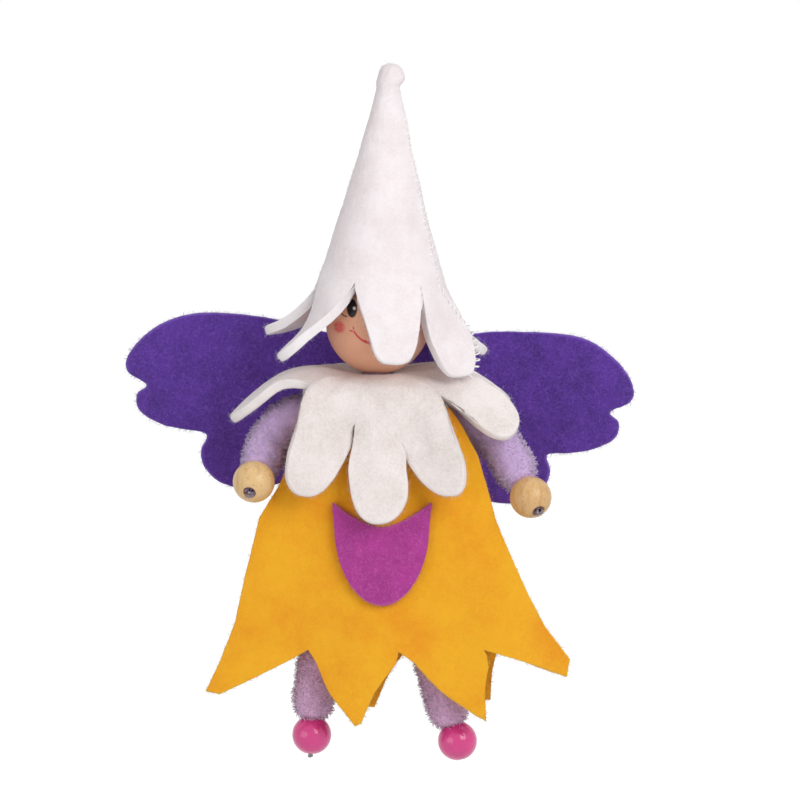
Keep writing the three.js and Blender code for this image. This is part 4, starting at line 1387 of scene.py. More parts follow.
@dataclass
class Hat:
    """The pointed hat: one piece of white felt, seamed at its side, with six petals."""

    height: float = 37.4
    knob_height: float = 3.9
    knob_radius: float = 2.6
    neck_radius: float = 2.0
    mouth_radius: float = 12.08
    lean: float = 0.038
    bow: float = 0.5
    shift: float = 0.5721
    notch_z: float = HEAD_Z + 8.3
    fit: float = 0.5
    tip_solid: float = 5.0
    turn_rate: float = 1.25
    petals: tuple[Petal, ...] = (
        Petal(10.5, 15.7, 38, 4.2, turn=11, face=6, aim=6, half=5.1),
        Petal(66, 19.2, 94, 1.6, turn=18.5, face=37, aim=66, half=5.6),
        Petal(123, 19.2, 152, 1.6, turn=52, face=98, aim=100, half=5.6),
        Petal(184, 14.5, 215, 8.0, turn=4, face=184, aim=184, half=5.6),
        Petal(247, 17, 278, 2.2, turn=70, face=240, aim=250, half=5.6),
        Petal(303, 18.2, 335.5, 0.9, turn=48, face=270, aim=270, half=5.2),
    )
    seam_angle: float = math.radians(64)
    flat_width: float = 0.078
    flat_length: float = 0.062

    def __post_init__(self) -> None:
        """Works out the cone's slopes from what it sits on."""
        self.neck_z = self.notch_z + self.height
        self.tip_z = self.neck_z + self.knob_height
        self.side_slope = (self.mouth_radius - self.neck_radius) / self.height
        reach = HEAD_RADIUS + self.fit + FELT
        rise = self.neck_z - HEAD_Z
        across = math.hypot(self.neck_radius, rise)
        self.depth_slope = math.tan(math.asin(reach / across) - math.atan(self.neck_radius / rise))

    def centre_x(self, z: np.ndarray | float) -> np.ndarray | float:
        """The hat's leaning middle line at a height."""
        return self.shift + self.lean * (z - self.notch_z)

    def cone_row(self, angle: np.ndarray, z: float, ridge: float = 0.0) -> np.ndarray:
        """Points on the middle of the cone's felt, all round, at a height.

        Args:
            angle: directions from the front.
            z: the height.
            ridge: how far the side seam's two edges stand out, in millimetres.

        Returns:
            The points.
        """
        fall = self.neck_z - z
        drawn = self.bow * math.sin(math.pi * fall / self.height)
        side = self.neck_radius + self.side_slope * fall - drawn - FELT / 2
        depth = self.neck_radius + self.depth_slope * fall - FELT / 2
        swell = 1 + ridge / side * np.exp(-((angle - self.seam_angle) * side / 1.1) ** 2)
        return np.stack([
            self.centre_x(z) + side * swell * np.sin(angle),
            -depth * swell * np.cos(angle),
            np.full_like(angle, z),
        ], axis=-1)

    def petal_row(self, columns: Columns, share: float) -> np.ndarray:
        """Points of the petals' felt, a share of the way from the mouth to their ends."""
        steps = 12
        distance = self.reach(columns) * share
        length = columns.of("reach")
        own = np.radians(columns.of("angle"))
        middle = self.cone_row(own, self.notch_z)
        aside = self.cone_row(columns.angle, self.notch_z) - middle
        lean = np.arctan(mix(self.depth_slope, self.side_slope, np.sin(own) ** 2))
        turn = np.radians(columns.of("turn"))
        aim = np.radians(columns.of("aim"))
        face = np.radians(columns.of("face"))
        for i in range(steps):
            part = np.minimum(1, (i + 0.5) / steps * distance / length * self.turn_rate)
            slope = mix(lean, turn, part)
            step = distance / steps
            middle = middle + outward_of(mix(own, aim, part)) * (np.sin(slope) * step)[:, None]
            middle[:, 2] -= np.cos(slope) * step
        flat = sideways_of(face) * (columns.through * columns.of("half"))[:, None]
        return middle + mix(aside, flat, smoothstep(distance / length, 0, 0.75)[:, None])

    def reach(self, columns: Columns) -> np.ndarray:
        """How far below the mouth the felt reaches in each column."""
        round_ = (1 - np.abs(columns.through) ** 3.4) ** 0.4
        return mix(columns.notch, columns.of("reach"), round_)

    def grid(self, columns: Columns) -> np.ndarray:
        """The middle surface of the felt, from under the knob to the petals' ends."""
        hollow_top = self.neck_z - self.tip_solid
        heights = np.linspace(hollow_top, self.notch_z, 44)
        cone = [self.cone_row(columns.angle, z, 0.4 * min(1, i / 4, (43 - i) / 4))
                for i, z in enumerate(heights)]
        shares = [*np.linspace(0.04, 0.95, 24), 1.0]
        return np.array(cone + [self.petal_row(columns, share) for share in shares])

    def knob_rings(self, draft: Draft, angle: np.ndarray) -> list[list[int]]:
        """Rings of the gathered tip, pinched into soft folds, from its top down."""
        rings = [draft.add_ring(np.array([self.centre_x(self.tip_z), 0.0, self.tip_z]))]
        profile = [(0.94, 0.28), (0.87, 0.54), (0.75, 0.74), (0.57, 0.89), (0.38, 0.97),
                   (0.2, 1.0), (0.04, 0.97), (-0.1, 0.9), (-0.2, 0.86)]
        for height, width in profile:
            z = self.neck_z + self.knob_height * height
            folds = 0.09 * height * np.cos(3 * angle + 0.6) + 0.05 * height * np.cos(7 * angle)
            lobe = 0.09 * math.exp(-((height - 0.17) / 0.2) ** 2)
            corner = 0.3 * math.exp(-((height - 0.9) / 0.12) ** 2)
            pleat = (1 + folds + lobe * np.exp(-((angle - self.seam_angle) / 0.6) ** 2)
                     + corner * np.exp(-((angle - math.radians(250)) / 0.6) ** 2))
            radius = self.knob_radius * width * pleat
            rings.append(draft.add_ring(np.stack([
                self.centre_x(z) + 0.45 * smoothstep(height, -0.1, 0.3) + radius * np.sin(angle),
                -radius * np.cos(angle), np.full_like(angle, z),
            ], axis=-1)))
        return rings

    def seam_places(self, columns: Columns, grid: np.ndarray) -> tuple[np.ndarray, np.ndarray]:
        """Where the side seam's stitches lie: down the cone and along a petal's edge.

        Args:
            columns: the hat's columns.
            grid: its middle surface.

        Returns:
            Places and outward directions, a stitch apart.
        """
        seam = int(np.argmin(np.abs(columns.angle - self.seam_angle)))
        line = [grid[row, seam] for row in range(2, 46)]
        edge = [c for c in range(len(columns.angle)) if columns.petal[c] == 1]
        edge = [c for c in edge[::-1] if 0.2 < columns.through[c] < 0.97]
        line += [grid[-1, c] for c in edge]
        route = np.array(line)
        lengths = np.r_[0, np.cumsum(np.linalg.norm(np.diff(route, axis=0), axis=1))]
        spots = np.arange(0.5, lengths[-1], 1.3)
        places = np.stack([np.interp(spots, lengths, route[:, k]) for k in range(3)], axis=-1)
        middle = np.stack([
            np.array([self.centre_x(z) for z in places[:, 2]]), np.zeros(len(places)), places[:, 2],
        ], axis=-1)
        outward = unit(places - middle)
        return places + outward * 0.4, outward

    def build(self) -> None:
        """Makes the hat, its fuzz and its seam."""
        columns = petal_columns(self.petals, 40)
        grid = self.grid(columns)
        draft = Draft()
        rings = self.knob_rings(draft, columns.angle)
        rings += round_sheet(draft, grid, Cut(), False)
        hollow = self.neck_z - self.tip_solid
        rings.append(draft.add_ring(np.array([self.centre_x(hollow), 0.0, hollow + 1])))
        draft.join_rings(rings, False)
        hat = draft.mesh_object("hat", [(0.22, 7.0), (0.07, 1.1)])
        fuzz = FELT_FUZZ.on(hat, "hat_fuzz", WHITE_FUZZ)
        places, outward = self.seam_places(columns, grid)
        seam = StitchRow(reach=0.7, thread=0.14, slant=0.5).along(places, outward, "hat_seam",
                                                                   SEAM_THREAD)
        wisps = FibreCoat(density=2.0, length=0.8, thickness=0.04, lean=1.2, spread=0.6, curl=0.6,
                          seed=8).on(seam, "hat_seam_wisps", SEAM_THREAD)
        felt = FINISHES.of(WHITE_FELT)
        dress_piece(hat, felt, "head", ["hat_felt"])
        for piece in (fuzz, seam, wisps):
            dress_piece(piece, felt, "head")


@dataclass
class Collar:
    """The flower collar: one round piece of white felt with eight petals over the shoulders."""

    hole: float = 2.9
    petals: tuple[Petal, ...] = (
        Petal(0, 33.8, 20, 22.6, turn=76.5, face=0, start=4.6, bend=5.6),
        Petal(46, 32.2, 60, 14, turn=70, face=-21.5, start=2.5, bend=16.2, tilt=-4.4, rise=0.3,
              half=6.5),
        Petal(73, 30, 93, 12.5, turn=32, face=58, start=6, bend=14, tilt=-42, rise=0.3),
        Petal(112, 29, 142, 12.5, turn=36, face=112, start=9, bend=14, rise=2.2),
        Petal(172, 31, 197, 11, turn=84, face=178, start=7, bend=5.5, rise=1.5),
        Petal(222, 31, 246, 11, turn=84, face=195, start=10.7, bend=5.5, rise=1.5),
        Petal(270, 31, 298.5, 14.5, turn=40, face=270, start=10, bend=14, tilt=3, rise=1.5),
        Petal(314, 33.3, 341, 17.3, turn=72.8, face=17.5, start=5.5, bend=13.7, tilt=11.6,
              half=6.9),
    )
    neck_lift: float = 0.45
    flat_size: float = 0.065

    def on_petal(
        self, columns: Columns, angle: np.ndarray, distance: np.ndarray, neighbour: bool
    ) -> np.ndarray:
        """Points of the felt as a petal carries them, bent along the petal's own middle line.

        Args:
            columns: the collar's columns.
            angle: each point's direction in the flat felt.
            distance: its distance from the neck in the flat felt.
            neighbour: whether the next petal carries it, instead of its own.

        Returns:
            The points.
        """
        steps = 16
        own = np.radians(columns.of("angle", neighbour))
        apart = (angle - own + math.pi) % (2 * math.pi) - math.pi
        across = distance * np.sin(apart)
        step = distance * np.cos(apart) / steps
        start = columns.of("start", neighbour)
        end = start + columns.of("bend", neighbour)
        full = np.radians(columns.of("turn", neighbour))
        away = np.zeros_like(angle)
        down = np.zeros_like(angle)
        slope = np.zeros_like(angle)
        for i in range(steps):
            t = np.clip(((i + 0.5) * step - start) / (end - start), 0, 1)
            slope = full * t * t * (3 - 2 * t)
            away += np.cos(slope) * step
            down += np.sin(slope) * step
        hang = slope / full
        turned = (np.radians(columns.of("face", neighbour)) - own + math.pi) % (2 * math.pi) - math.pi
        tilt = np.radians(columns.of("tilt", neighbour)) * hang
        level = outward_of(own) * away[:, None]
        level += sideways_of(own + turned * hang) * (across * np.cos(tilt))[:, None]
        climb = columns.of("rise", neighbour) * smoothstep(distance * np.cos(apart), 3, 11)
        meets = self.neck_lift * (1 - smoothstep(distance, 4, 9))
        level[:, 2] = -FELT / 2 + climb + meets - down - np.sin(tilt) * across
        return level

    def row(self, columns: Columns, share: float) -> np.ndarray:
        """Points all round, a share of the way from the hole to the edge.

        Near a notch the two petals on its sides share the felt.
        """
        side = np.abs(columns.through)
        half = np.radians(columns.half)
        own = np.radians(columns.of("angle"))
        off = half * columns.through
        notch_across = columns.notch * np.sin(half)
        edge_across = columns.through * mix(columns.of("half"), notch_across, side ** 5)
        edge_along = mix(columns.notch * np.cos(half), columns.of("reach"), (1 - side ** 2.6) ** 0.5)
        across = mix(self.hole * np.sin(off), edge_across, share)
        along = mix(self.hole * np.cos(off), edge_along, share)
        angle = own + np.arctan2(across, along)
        distance = np.hypot(across, along)
        mine = self.on_petal(columns, angle, distance, False)
        other = self.on_petal(columns, angle, distance, True)
        inner = 1 - smoothstep(distance / columns.notch, 0.9, 1.4)
        part = 0.5 * inner * side ** 1.5
        return mix(mine, other, part[:, None])

    def grid(self, columns: Columns) -> np.ndarray:
        """The middle surface of the felt, from the neck's hole to the petals' ends."""
        shares = [*np.linspace(0, 0.955, 44), 1.0]
        return np.array([self.row(columns, share) for share in shares])

    def build(self) -> None:
        """Makes the collar and its fuzz."""
        columns = petal_columns(self.petals, 34)
        grid = self.grid(columns)
        draft = Draft()
        draft.join_rings(round_sheet(draft, grid, Cut(), True), True)
        collar = draft.mesh_object("collar", [(0.15, 6.0), (0.07, 1.1)])
        fuzz = FELT_FUZZ.on(collar, "collar_fuzz", WHITE_FUZZ)
        felt = FINISHES.of(SHADED_COLLAR_FELT)
        dress_piece(collar, felt, "torso", ["collar_felt"])
        dress_piece(fuzz, felt, "torso")


@dataclass
class Dress:
    """Two toothed panels of yellow felt, and the tulip pocket patch on the front one."""

    top: float = 3.5
    shoulder_fall: float = 0.15
    chest: float = 5.9
    hem_depth: float = 9.2
    length: float = 66.0
    edge_draw: float = 0.42
    back_draw: float = 2.4
    fold: float = 0.9
    tooth_top: float = 50.0
    tooth_lean: float = 1.3
    neck_left: float = 13.0
    neck_right: float = 11.0
    width_top: float = 15.0
    width_hem: float = 34.0
    left_edge: tuple[tuple[float, float], ...] = (
        (3, 13), (9, 15.6), (15, 16.6), (21, 19), (27, 22.6), (37, 25.2), (47, 27.4), (54, 30),
        (60.5, 33),
    )
    right_edge: tuple[tuple[float, float], ...] = (
        (3, 12), (9, 16), (15, 19.2), (21, 20.8), (27, 22.4), (36, 26.1), (42, 28.8), (48, 32),
        (54.5, 36.9), (57.9, 36.3),
    )
    hem: tuple[tuple[float, float], ...] = (
        (0, 60.5), (0.04, 61), (0.248, 52.2), (0.413, 66.5), (0.43, 66), (0.514, 52.4),
        (0.735, 65.2), (0.757, 66), (0.767, 52.2), (1, 57.9),
    )
    back_hem: tuple[tuple[float, float], ...] = (
        (0, 59), (0.27, 52.4), (0.44, 66.2), (0.463, 66.2), (0.533, 55.2), (0.778, 64.4),
        (0.8, 64.4), (0.81, 54), (1, 55.5),
    )
    pocket_left: float = -8.6
    pocket_right: float = 10.2
    pocket_horn: float = 23.6
    pocket_dip: float = 28.2
    pocket_bottom: float = 43.2

    def depth(self, x: np.ndarray, z: np.ndarray, side: int) -> np.ndarray:
        """Where a panel's middle surface stands, in front of the body or behind it."""
        fall = np.clip((-z - self.top) / (self.length - self.top), 0, 1)
        middle = mix(self.chest, self.hem_depth, fall)
        half = mix(self.width_top, self.width_hem, fall)
        across = np.minimum(1.1, np.abs(x) / half)
        drawn = middle * (1 - self.edge_draw * fall ** 0.6 * across ** 2.4)
        folds = self.fold * fall * np.cos(x / half * 2.05 * math.pi + 0.3)
        return side * (drawn + folds)

    def normals(self, grid: np.ndarray, side: int) -> np.ndarray:
        """Unit normals of a panel, towards the front, at points of its middle surface."""
        x, _, z = np.moveaxis(grid, -1, 0)
        by_x = self.depth(x + 0.5, z, side) - self.depth(x - 0.5, z, side)
        by_z = self.depth(x, z + 0.5, side) - self.depth(x, z - 0.5, side)
        return unit(np.stack([by_x, np.full_like(x, -1.0), by_z], axis=-1))

    def places(self, hem: tuple[tuple[float, float], ...]) -> np.ndarray:
        """Places across a panel: each corner of the hem, and even steps between them."""
        found = [0.0]
        for (start, high), (end, low) in zip(hem, hem[1:]):
            steps = max(1, math.ceil((end - start) / 0.0075), math.ceil(abs(low - high) / 1.6))
            found += [start + (end - start) * (k + 1) / steps for k in range(steps)]
        return np.array(found)

    def panel_grid(self, panel: Panel) -> np.ndarray:
        """The middle surface of a panel."""
        hem = self.back_hem if panel is Panel.BACK else self.hem
        across = self.places(hem)
        top = self.top + self.shoulder_fall * np.abs(mix(-self.neck_left, self.neck_right, across))
        bottom = along_pairs(hem, across)
        draw = self.back_draw if panel is Panel.BACK else 0.0
        rows = []
        falls = [mix(top, self.tooth_top, down) for down in np.linspace(0, 1, 74)]
        falls += [mix(self.tooth_top, bottom, down) for down in np.linspace(0, 1, 22)[1:]]
        for fall in falls:
            x = mix(-along_pairs(self.left_edge, fall), along_pairs(self.right_edge, fall), across)
            x = x + draw * fall / self.length * (1 - 2 * across)
            below = np.maximum(fall - self.tooth_top, 0) / (self.length - self.tooth_top)
            x = x + self.tooth_lean * below * np.exp(-((across - 0.76) / 0.07) ** 2)
            rows.append(np.stack([x, self.depth(x, -fall, panel.value), -fall], axis=-1))
        return np.array(rows)

    def pocket_grid(self) -> np.ndarray:
        """The middle surface of the pocket patch, which follows the front panel."""
        side = np.sin(np.linspace(-1, 1, 61) * math.pi / 2)
        middle = (self.pocket_left + self.pocket_right) / 2
        half = (self.pocket_right - self.pocket_left) / 2
        lift = FELT / 2 + SEAT + POCKET_FELT / 2
        top = mix(self.pocket_dip, self.pocket_horn, np.abs(side) ** 1.6)
        bottom = mix(self.pocket_horn + 4, self.pocket_bottom, np.sqrt(1 - 0.96 * side ** 2))
        rows = []
        for down in [0.0, *np.linspace(0.04, 0.96, 30), 1.0]:
            z = -mix(top, bottom, down)
            x = middle + side * half * mix(1, 0.94, down)
            rows.append(np.stack([x, self.depth(x, z, -1) - lift, z], axis=-1))
        return np.array(rows)

    def build(self) -> None:
        """Makes the two panels and the pocket, with their fuzz."""
        felt = FINISHES.of(YELLOW_FELT)
        for panel in Panel:
            grid = self.panel_grid(panel)
            draft = Draft()
            patch_sheet(draft, grid, Cut(), self.normals(grid, panel.value))
            name = f"dress_{panel.word}_panel"
            piece = draft.mesh_object(name, [(0.2, 9.0), (0.06, 1.1)])
            fuzz = FELT_FUZZ.on(piece, f"{name}_fuzz", YELLOW_FUZZ)
            dress_piece(piece, felt, "torso", [f"dress_{panel.word}"])
            dress_piece(fuzz, felt, "torso")
        grid = self.pocket_grid()
        draft = Draft()
        patch_sheet(draft, grid, Cut(POCKET_FELT, 0.4), self.normals(grid, -1))
        pocket = draft.mesh_object("pocket", [(0.05, 1.1)])
        fuzz = FELT_FUZZ.on(pocket, "pocket_fuzz", MAGENTA_FUZZ)
        felt = FINISHES.of(MAGENTA_FELT)
        dress_piece(pocket, felt, "torso", ["pocket_felt"])
        dress_piece(fuzz, felt, "torso")


@dataclass
class Wings:
    """Butterfly wings: one piece of purple felt, three lobes a side, glued on by its middle."""

    root_depth: float = 8.0
    sweep: float = 0.2
    flat_half: float = 6.0
    turn: float = math.radians(3.4)
    plane: float = 14.6524
    half_outline: tuple[tuple[float, float], ...] = (
        (0, 7), (5, 10.5), (8.8, 13.6), (14, 14.6), (22, 16), (31, 16.4), (39.5, 15.4),
        (46, 11.6), (49.8, 6.6), (49.6, 3.4), (45.6, 1.2), (47.4, -0.8), (46.6, -4), (42.4, -6.2),
        (38, -7), (33.6, -7.6), (34.4, -11), (33.2, -14.4), (29.6, -17.2), (24, -17.6),
        (16, -15.4), (8, -13), (0, -12),
    )

    def outline(self) -> np.ndarray:
        """The whole outline about the wings' middle, through the chosen points."""
        points = np.array(self.half_outline, float)
        found = []
        last = len(points) - 1
        for t in np.linspace(0, last, 230):
            i = min(int(t), last - 1)
            p0, p1, p2, p3 = points[max(i - 1, 0)], points[i], points[i + 1], points[min(i + 2, last)]
            w = t - i
            v0, v1 = (p2 - p0) / 2, (p3 - p1) / 2
            found.append((2 * p1 - 2 * p2 + v0 + v1) * w ** 3
                         + (-3 * p1 + 3 * p2 - 2 * v0 - v1) * w ** 2 + v0 * w + p1)
        right = np.array(found)
        left = right[1:-1][::-1] * [-1, 1]
        return np.concatenate([right, left])

    def row(self, outline: np.ndarray, share: float) -> np.ndarray:
        """Points a share of the way from the wings' middle to their outline."""
        x, z = (outline * share).T
        beyond = np.maximum(0, np.abs(x) - self.flat_half)
        curl = np.where(beyond > 0, 1.2 * share * np.sin(np.abs(x) / 9), 0)
        return np.stack([
            x * math.cos(self.turn) + z * math.sin(self.turn),
            self.plane + self.sweep * beyond + curl,
            z * math.cos(self.turn) - x * math.sin(self.turn) - self.root_depth,
        ], axis=-1)

    def build(self) -> None:
        """Makes the wings and their fuzz."""
        outline = self.outline()
        shares = [*np.linspace(0.03, 0.975, 46), 1.0]
        grid = np.array([self.row(outline, s) for s in shares])
        draft = Draft()
        middle = self.row(np.zeros((1, 2)), 0)
        poles = [draft.add_ring(middle + [0, side * FELT / 2, 0]) for side in (1, -1)]
        rings = round_sheet(draft, grid, Cut(corner=0.7), False)
        draft.join_rings([poles[0], *rings, poles[1]], False)
        wings = draft.mesh_object("wings", [(0.3, 10.0), (0.08, 1.1)])
        coat = FibreCoat(density=1.2, rim_density=4.5, length=1.1, thickness=0.05, lean=1.45,
                         spread=0.7, curl=0.6, seed=4)
        fuzz = coat.on(wings, "wings_fuzz", PURPLE_FUZZ)
        felt = FINISHES.of(PURPLE_FELT)
        dress_piece(wings, felt, "torso", ["wings_felt"])
        dress_piece(fuzz, felt, "torso")


# Paths of stems and wires


@dataclass
class Path:
    """A smooth line through chosen points, with a frame at each station that turns least."""

    points: Sequence[Sequence[float]]
    spacing: float = 0.5

    def __post_init__(self) -> None:
        """Works out evenly spaced stations and their frames."""
        dense = self.sampled()
        lengths = np.r_[0, np.cumsum(np.linalg.norm(np.diff(dense, axis=0), axis=1))]
        self.length = float(lengths[-1])
        steps = max(4, math.ceil(self.length / self.spacing))
        self.along = np.linspace(0, self.length, steps + 1)
        self.at = np.stack([np.interp(self.along, lengths, dense[:, k]) for k in range(3)], axis=-1)
        self.tangent = unit(np.gradient(self.at, axis=0))
        side = unit(np.cross(self.tangent[0], [0.31, 0.47, 0.82]))
        sides = []
        for tangent in self.tangent:
            side = unit(side - tangent * float(side @ tangent))
            sides.append(side)
        self.side = np.array(sides)
        self.up = np.cross(self.tangent, self.side)

    def sampled(self) -> np.ndarray:
        """Many points of the centripetal curve through the chosen points."""
        chosen = np.array(self.points, float)
        ends = [2 * chosen[0] - chosen[1], *chosen, 2 * chosen[-1] - chosen[-2]]
        dense = []
        for i in range(len(chosen) - 1):
            p0, p1, p2, p3 = ends[i:i + 4]
            d0, d1, d2 = (math.sqrt(np.linalg.norm(b - a)) for a, b in ((p0, p1), (p1, p2), (p2, p3)))
            t1 = ((p1 - p0) / d0 - (p2 - p0) / (d0 + d1) + (p2 - p1) / d1) * d1
            t2 = ((p2 - p1) / d1 - (p3 - p1) / (d1 + d2) + (p3 - p2) / d2) * d1
            for w in np.linspace(0, 1, 40, endpoint=False):
                dense.append((2 * p1 - 2 * p2 + t1 + t2) * w ** 3
                             + (-3 * p1 + 3 * p2 - 2 * t1 - t2) * w ** 2 + t1 * w + p1)
        dense.append(chosen[-1])
        return np.array(dense)

    def ring(self, station: int, radius: float, sides: int, forward: float = 0.0) -> np.ndarray:
        """A ring of points round a station, moved along the path by forward."""
        turn = np.linspace(0, 2 * math.pi, sides, endpoint=False)
        flat = np.outer(np.cos(turn), self.side[station]) + np.outer(np.sin(turn), self.up[station])
        return self.at[station] + self.tangent[station] * forward + flat * radius


@dataclass
class ChenilleStem:
    """A length of chenille: a plush pile of cut fibres that stands off a twisted wire."""

    name: str
    body: str
    points: Sequence[Sequence[float]]
    radii: Sequence[tuple[float, float]]
    finish: Fibre
    slot: str
    stands_for: Sequence[str]
    density: float = 9.0
    core_share: float = 0.9
    overhang: float = 0.6
    seed: int = 1

    def core(self) -> bpy.types.Object:
        """The dense inside of the pile, that the fibre ends hide. Its material colours it all over in the fibres'
        darker root colour, a painted shade deep in the pile.
        """
        path = Path(self.points, 0.45)
        draft = Draft()
        last = len(path.at) - 1
        radius = along_pairs(self.radii, path.along / path.length) * self.core_share
        start = path.at[0] - path.tangent[0] * radius[0] * 0.5
        end = path.at[last] + path.tangent[last] * radius[last] * 0.25
        rings = [draft.add_ring(start)]
        rings.append(draft.add_ring(path.ring(0, radius[0] * 0.7, 24, -radius[0] * 0.35)))
        rings += [draft.add_ring(path.ring(i, radius[i], 24)) for i in range(last + 1)]
        rings.append(draft.add_ring(path.ring(last, radius[last] * 0.7, 24, radius[last] * 0.18)))
        rings.append(draft.add_ring(end))
        draft.join_rings(rings, False)
        return draft.mesh_object(self.name + "_core", [(0.25, 2.6), (0.05, 0.9)])

    def build(self) -> None:
        """Makes the pile's core and its fibres as one piece."""
        core = self.core()
        widest = max(radius for _, radius in self.radii)
        length = widest * (1 - self.core_share) + self.overhang
        coat = FibreCoat(density=self.density, length=length, thickness=0.21, lean=0.7, spread=0.8,
                         curl=0.5, taper=0.35, seed=self.seed)
        fibres = coat.on(core, self.name + "_fibres", self.finish)
        material = FINISHES.of(self.finish)
        dress_piece(core, material, self.body, self.stands_for)
        dress_piece(fibres, material, self.body)


@dataclass
class TwistedWire:
    """Two strands of wire twisted round each other."""

    name: str
    body: str
    points: Sequence[Sequence[float]]
    strand: float
    stands_for: Sequence[str]
    pitch: float = 5.5

    def build(self) -> None:
        """Makes both strands as one mesh."""
        path = Path(self.points, 0.25)
        draft = Draft()
        turn = 2 * math.pi * path.along / self.pitch
        for phase in (0.0, math.pi):
            offset = (np.cos(turn + phase)[:, None] * path.side
                      + np.sin(turn + phase)[:, None] * path.up) * self.strand
            strand = Path(path.at + offset, 0.3)
            last = len(strand.at) - 1
            rings = [draft.add_ring(strand.at[0])]
            rings += [draft.add_ring(strand.ring(i, self.strand, 8)) for i in range(last + 1)]
            rings.append(draft.add_ring(strand.ring(last, self.strand * 0.7, 8, self.strand * 0.25)))
            rings.append(draft.add_ring(strand.at[last] + strand.tangent[last] * self.strand * 0.4))
            draft.join_rings(rings, False)
        wire = draft.mesh_object(self.name)
        dress_piece(wire, FINISHES.of(DrawnWire()), self.body, self.stands_for)


@dataclass
class Bead:
    """A round wooden bead, bored through, the bore's edges eased."""

    name: str
    body: str
    radius: float
    bore: float
    centre: np.ndarray
    along: np.ndarray
    finish: TurnedWood | BeadPaint | FacePaint
    slot: str
    stands_for: str

    def build(self) -> None:
        """Turns the bead round its bore."""
        ease = self.radius * 0.025
        mouth = self.bore + ease
        arc = math.asin(math.sqrt(self.radius ** 2 - mouth ** 2) / self.radius)
        angles = np.linspace(-arc, arc, 48)
        profile = [(self.radius * math.cos(a), self.radius * math.sin(a)) for a in angles]
        top = profile[-1][1]
        profile += [(self.bore + ease * 0.3, top - ease * 0.3), (self.bore, top - ease)]
        profile += [(self.bore, top * share) for share in (0.5, 0.0, -0.5)]
        profile += [(self.bore, -top + ease), (self.bore + ease * 0.3, -top + ease * 0.3)]
        axis = unit(np.asarray(self.along, float))
        side = unit(np.cross(axis, [0.3, 0.9, 0.2]))
        up = np.cross(axis, side)
        turn = np.linspace(0, 2 * math.pi, 72, endpoint=False)
        flat = np.outer(np.cos(turn), side) + np.outer(np.sin(turn), up)
        draft = Draft()
        rings = [draft.add_ring(self.centre + axis * h + flat * r) for r, h in profile]
        draft.join_rings(rings, True)
        bead = draft.mesh_object(self.name)
        dress_piece(bead, FINISHES.of(self.finish), self.body, [self.stands_for])


FACE = FacePaint(
    name="painted_face_bead",
    skin="#E2A888",
    shade="#D08F70",
    middle=-0.6,
    cheek=Spot(6.75, 9.88, 1.05, 1.1, "#DC4A50", soft=0.2),
    strokes=(
        # The smile, thin at its corners and fuller in its middle
        Stroke(0.0, 11.36, 4.41, "#C8323A", 0.17, Spot(2.6, 7.9, 2.2, 1.75, "", soft=0.05)),
        Stroke(0.0, 11.5, 4.5, "#C43A3E", 0.3, Spot(0.0, 7.2, 2.4, 0.9, "", soft=0.3)),
        # The lash line that runs out from under the eye
        Stroke(5.22, 13.35, 1.35, "#3A2420", 0.11, Spot(5.95, 12.6, 0.95, 0.95, "", soft=0.1)),
    ),
    spots=(
        Spot(4.02, 9.85, 0.12, 0.42, "#C43A3E", turn=-0.15),
        Spot(4.42, 9.3, 0.42, 0.15, "#C43A3E", turn=0.4),
        Spot(4.28, 13.6, 1.0, 1.75, "#1E1A1E", soft=0.08),
        # a pale dot in the eye: a painted highlight
        Spot(3.85, 13.6, 0.28, 0.3, "#D8CFC8", soft=0.3),
        Spot(3.3, 11.05, 0.2, 0.06, "#A8624A", strength=0.7),
        Spot(1.75, 10.95, 0.15, 0.1, "#6A4A3C", strength=0.8),
    ),
)


@dataclass
class Head:
    """The head bead with its painted face."""

    def build(self) -> None:
        """Makes the head."""
        Bead("head", "head", HEAD_RADIUS, 1.9, np.array([0.0, 0.0, HEAD_Z]), np.array([0, 0, 1]),
             FACE, "painted_skin", "head_bead").build()


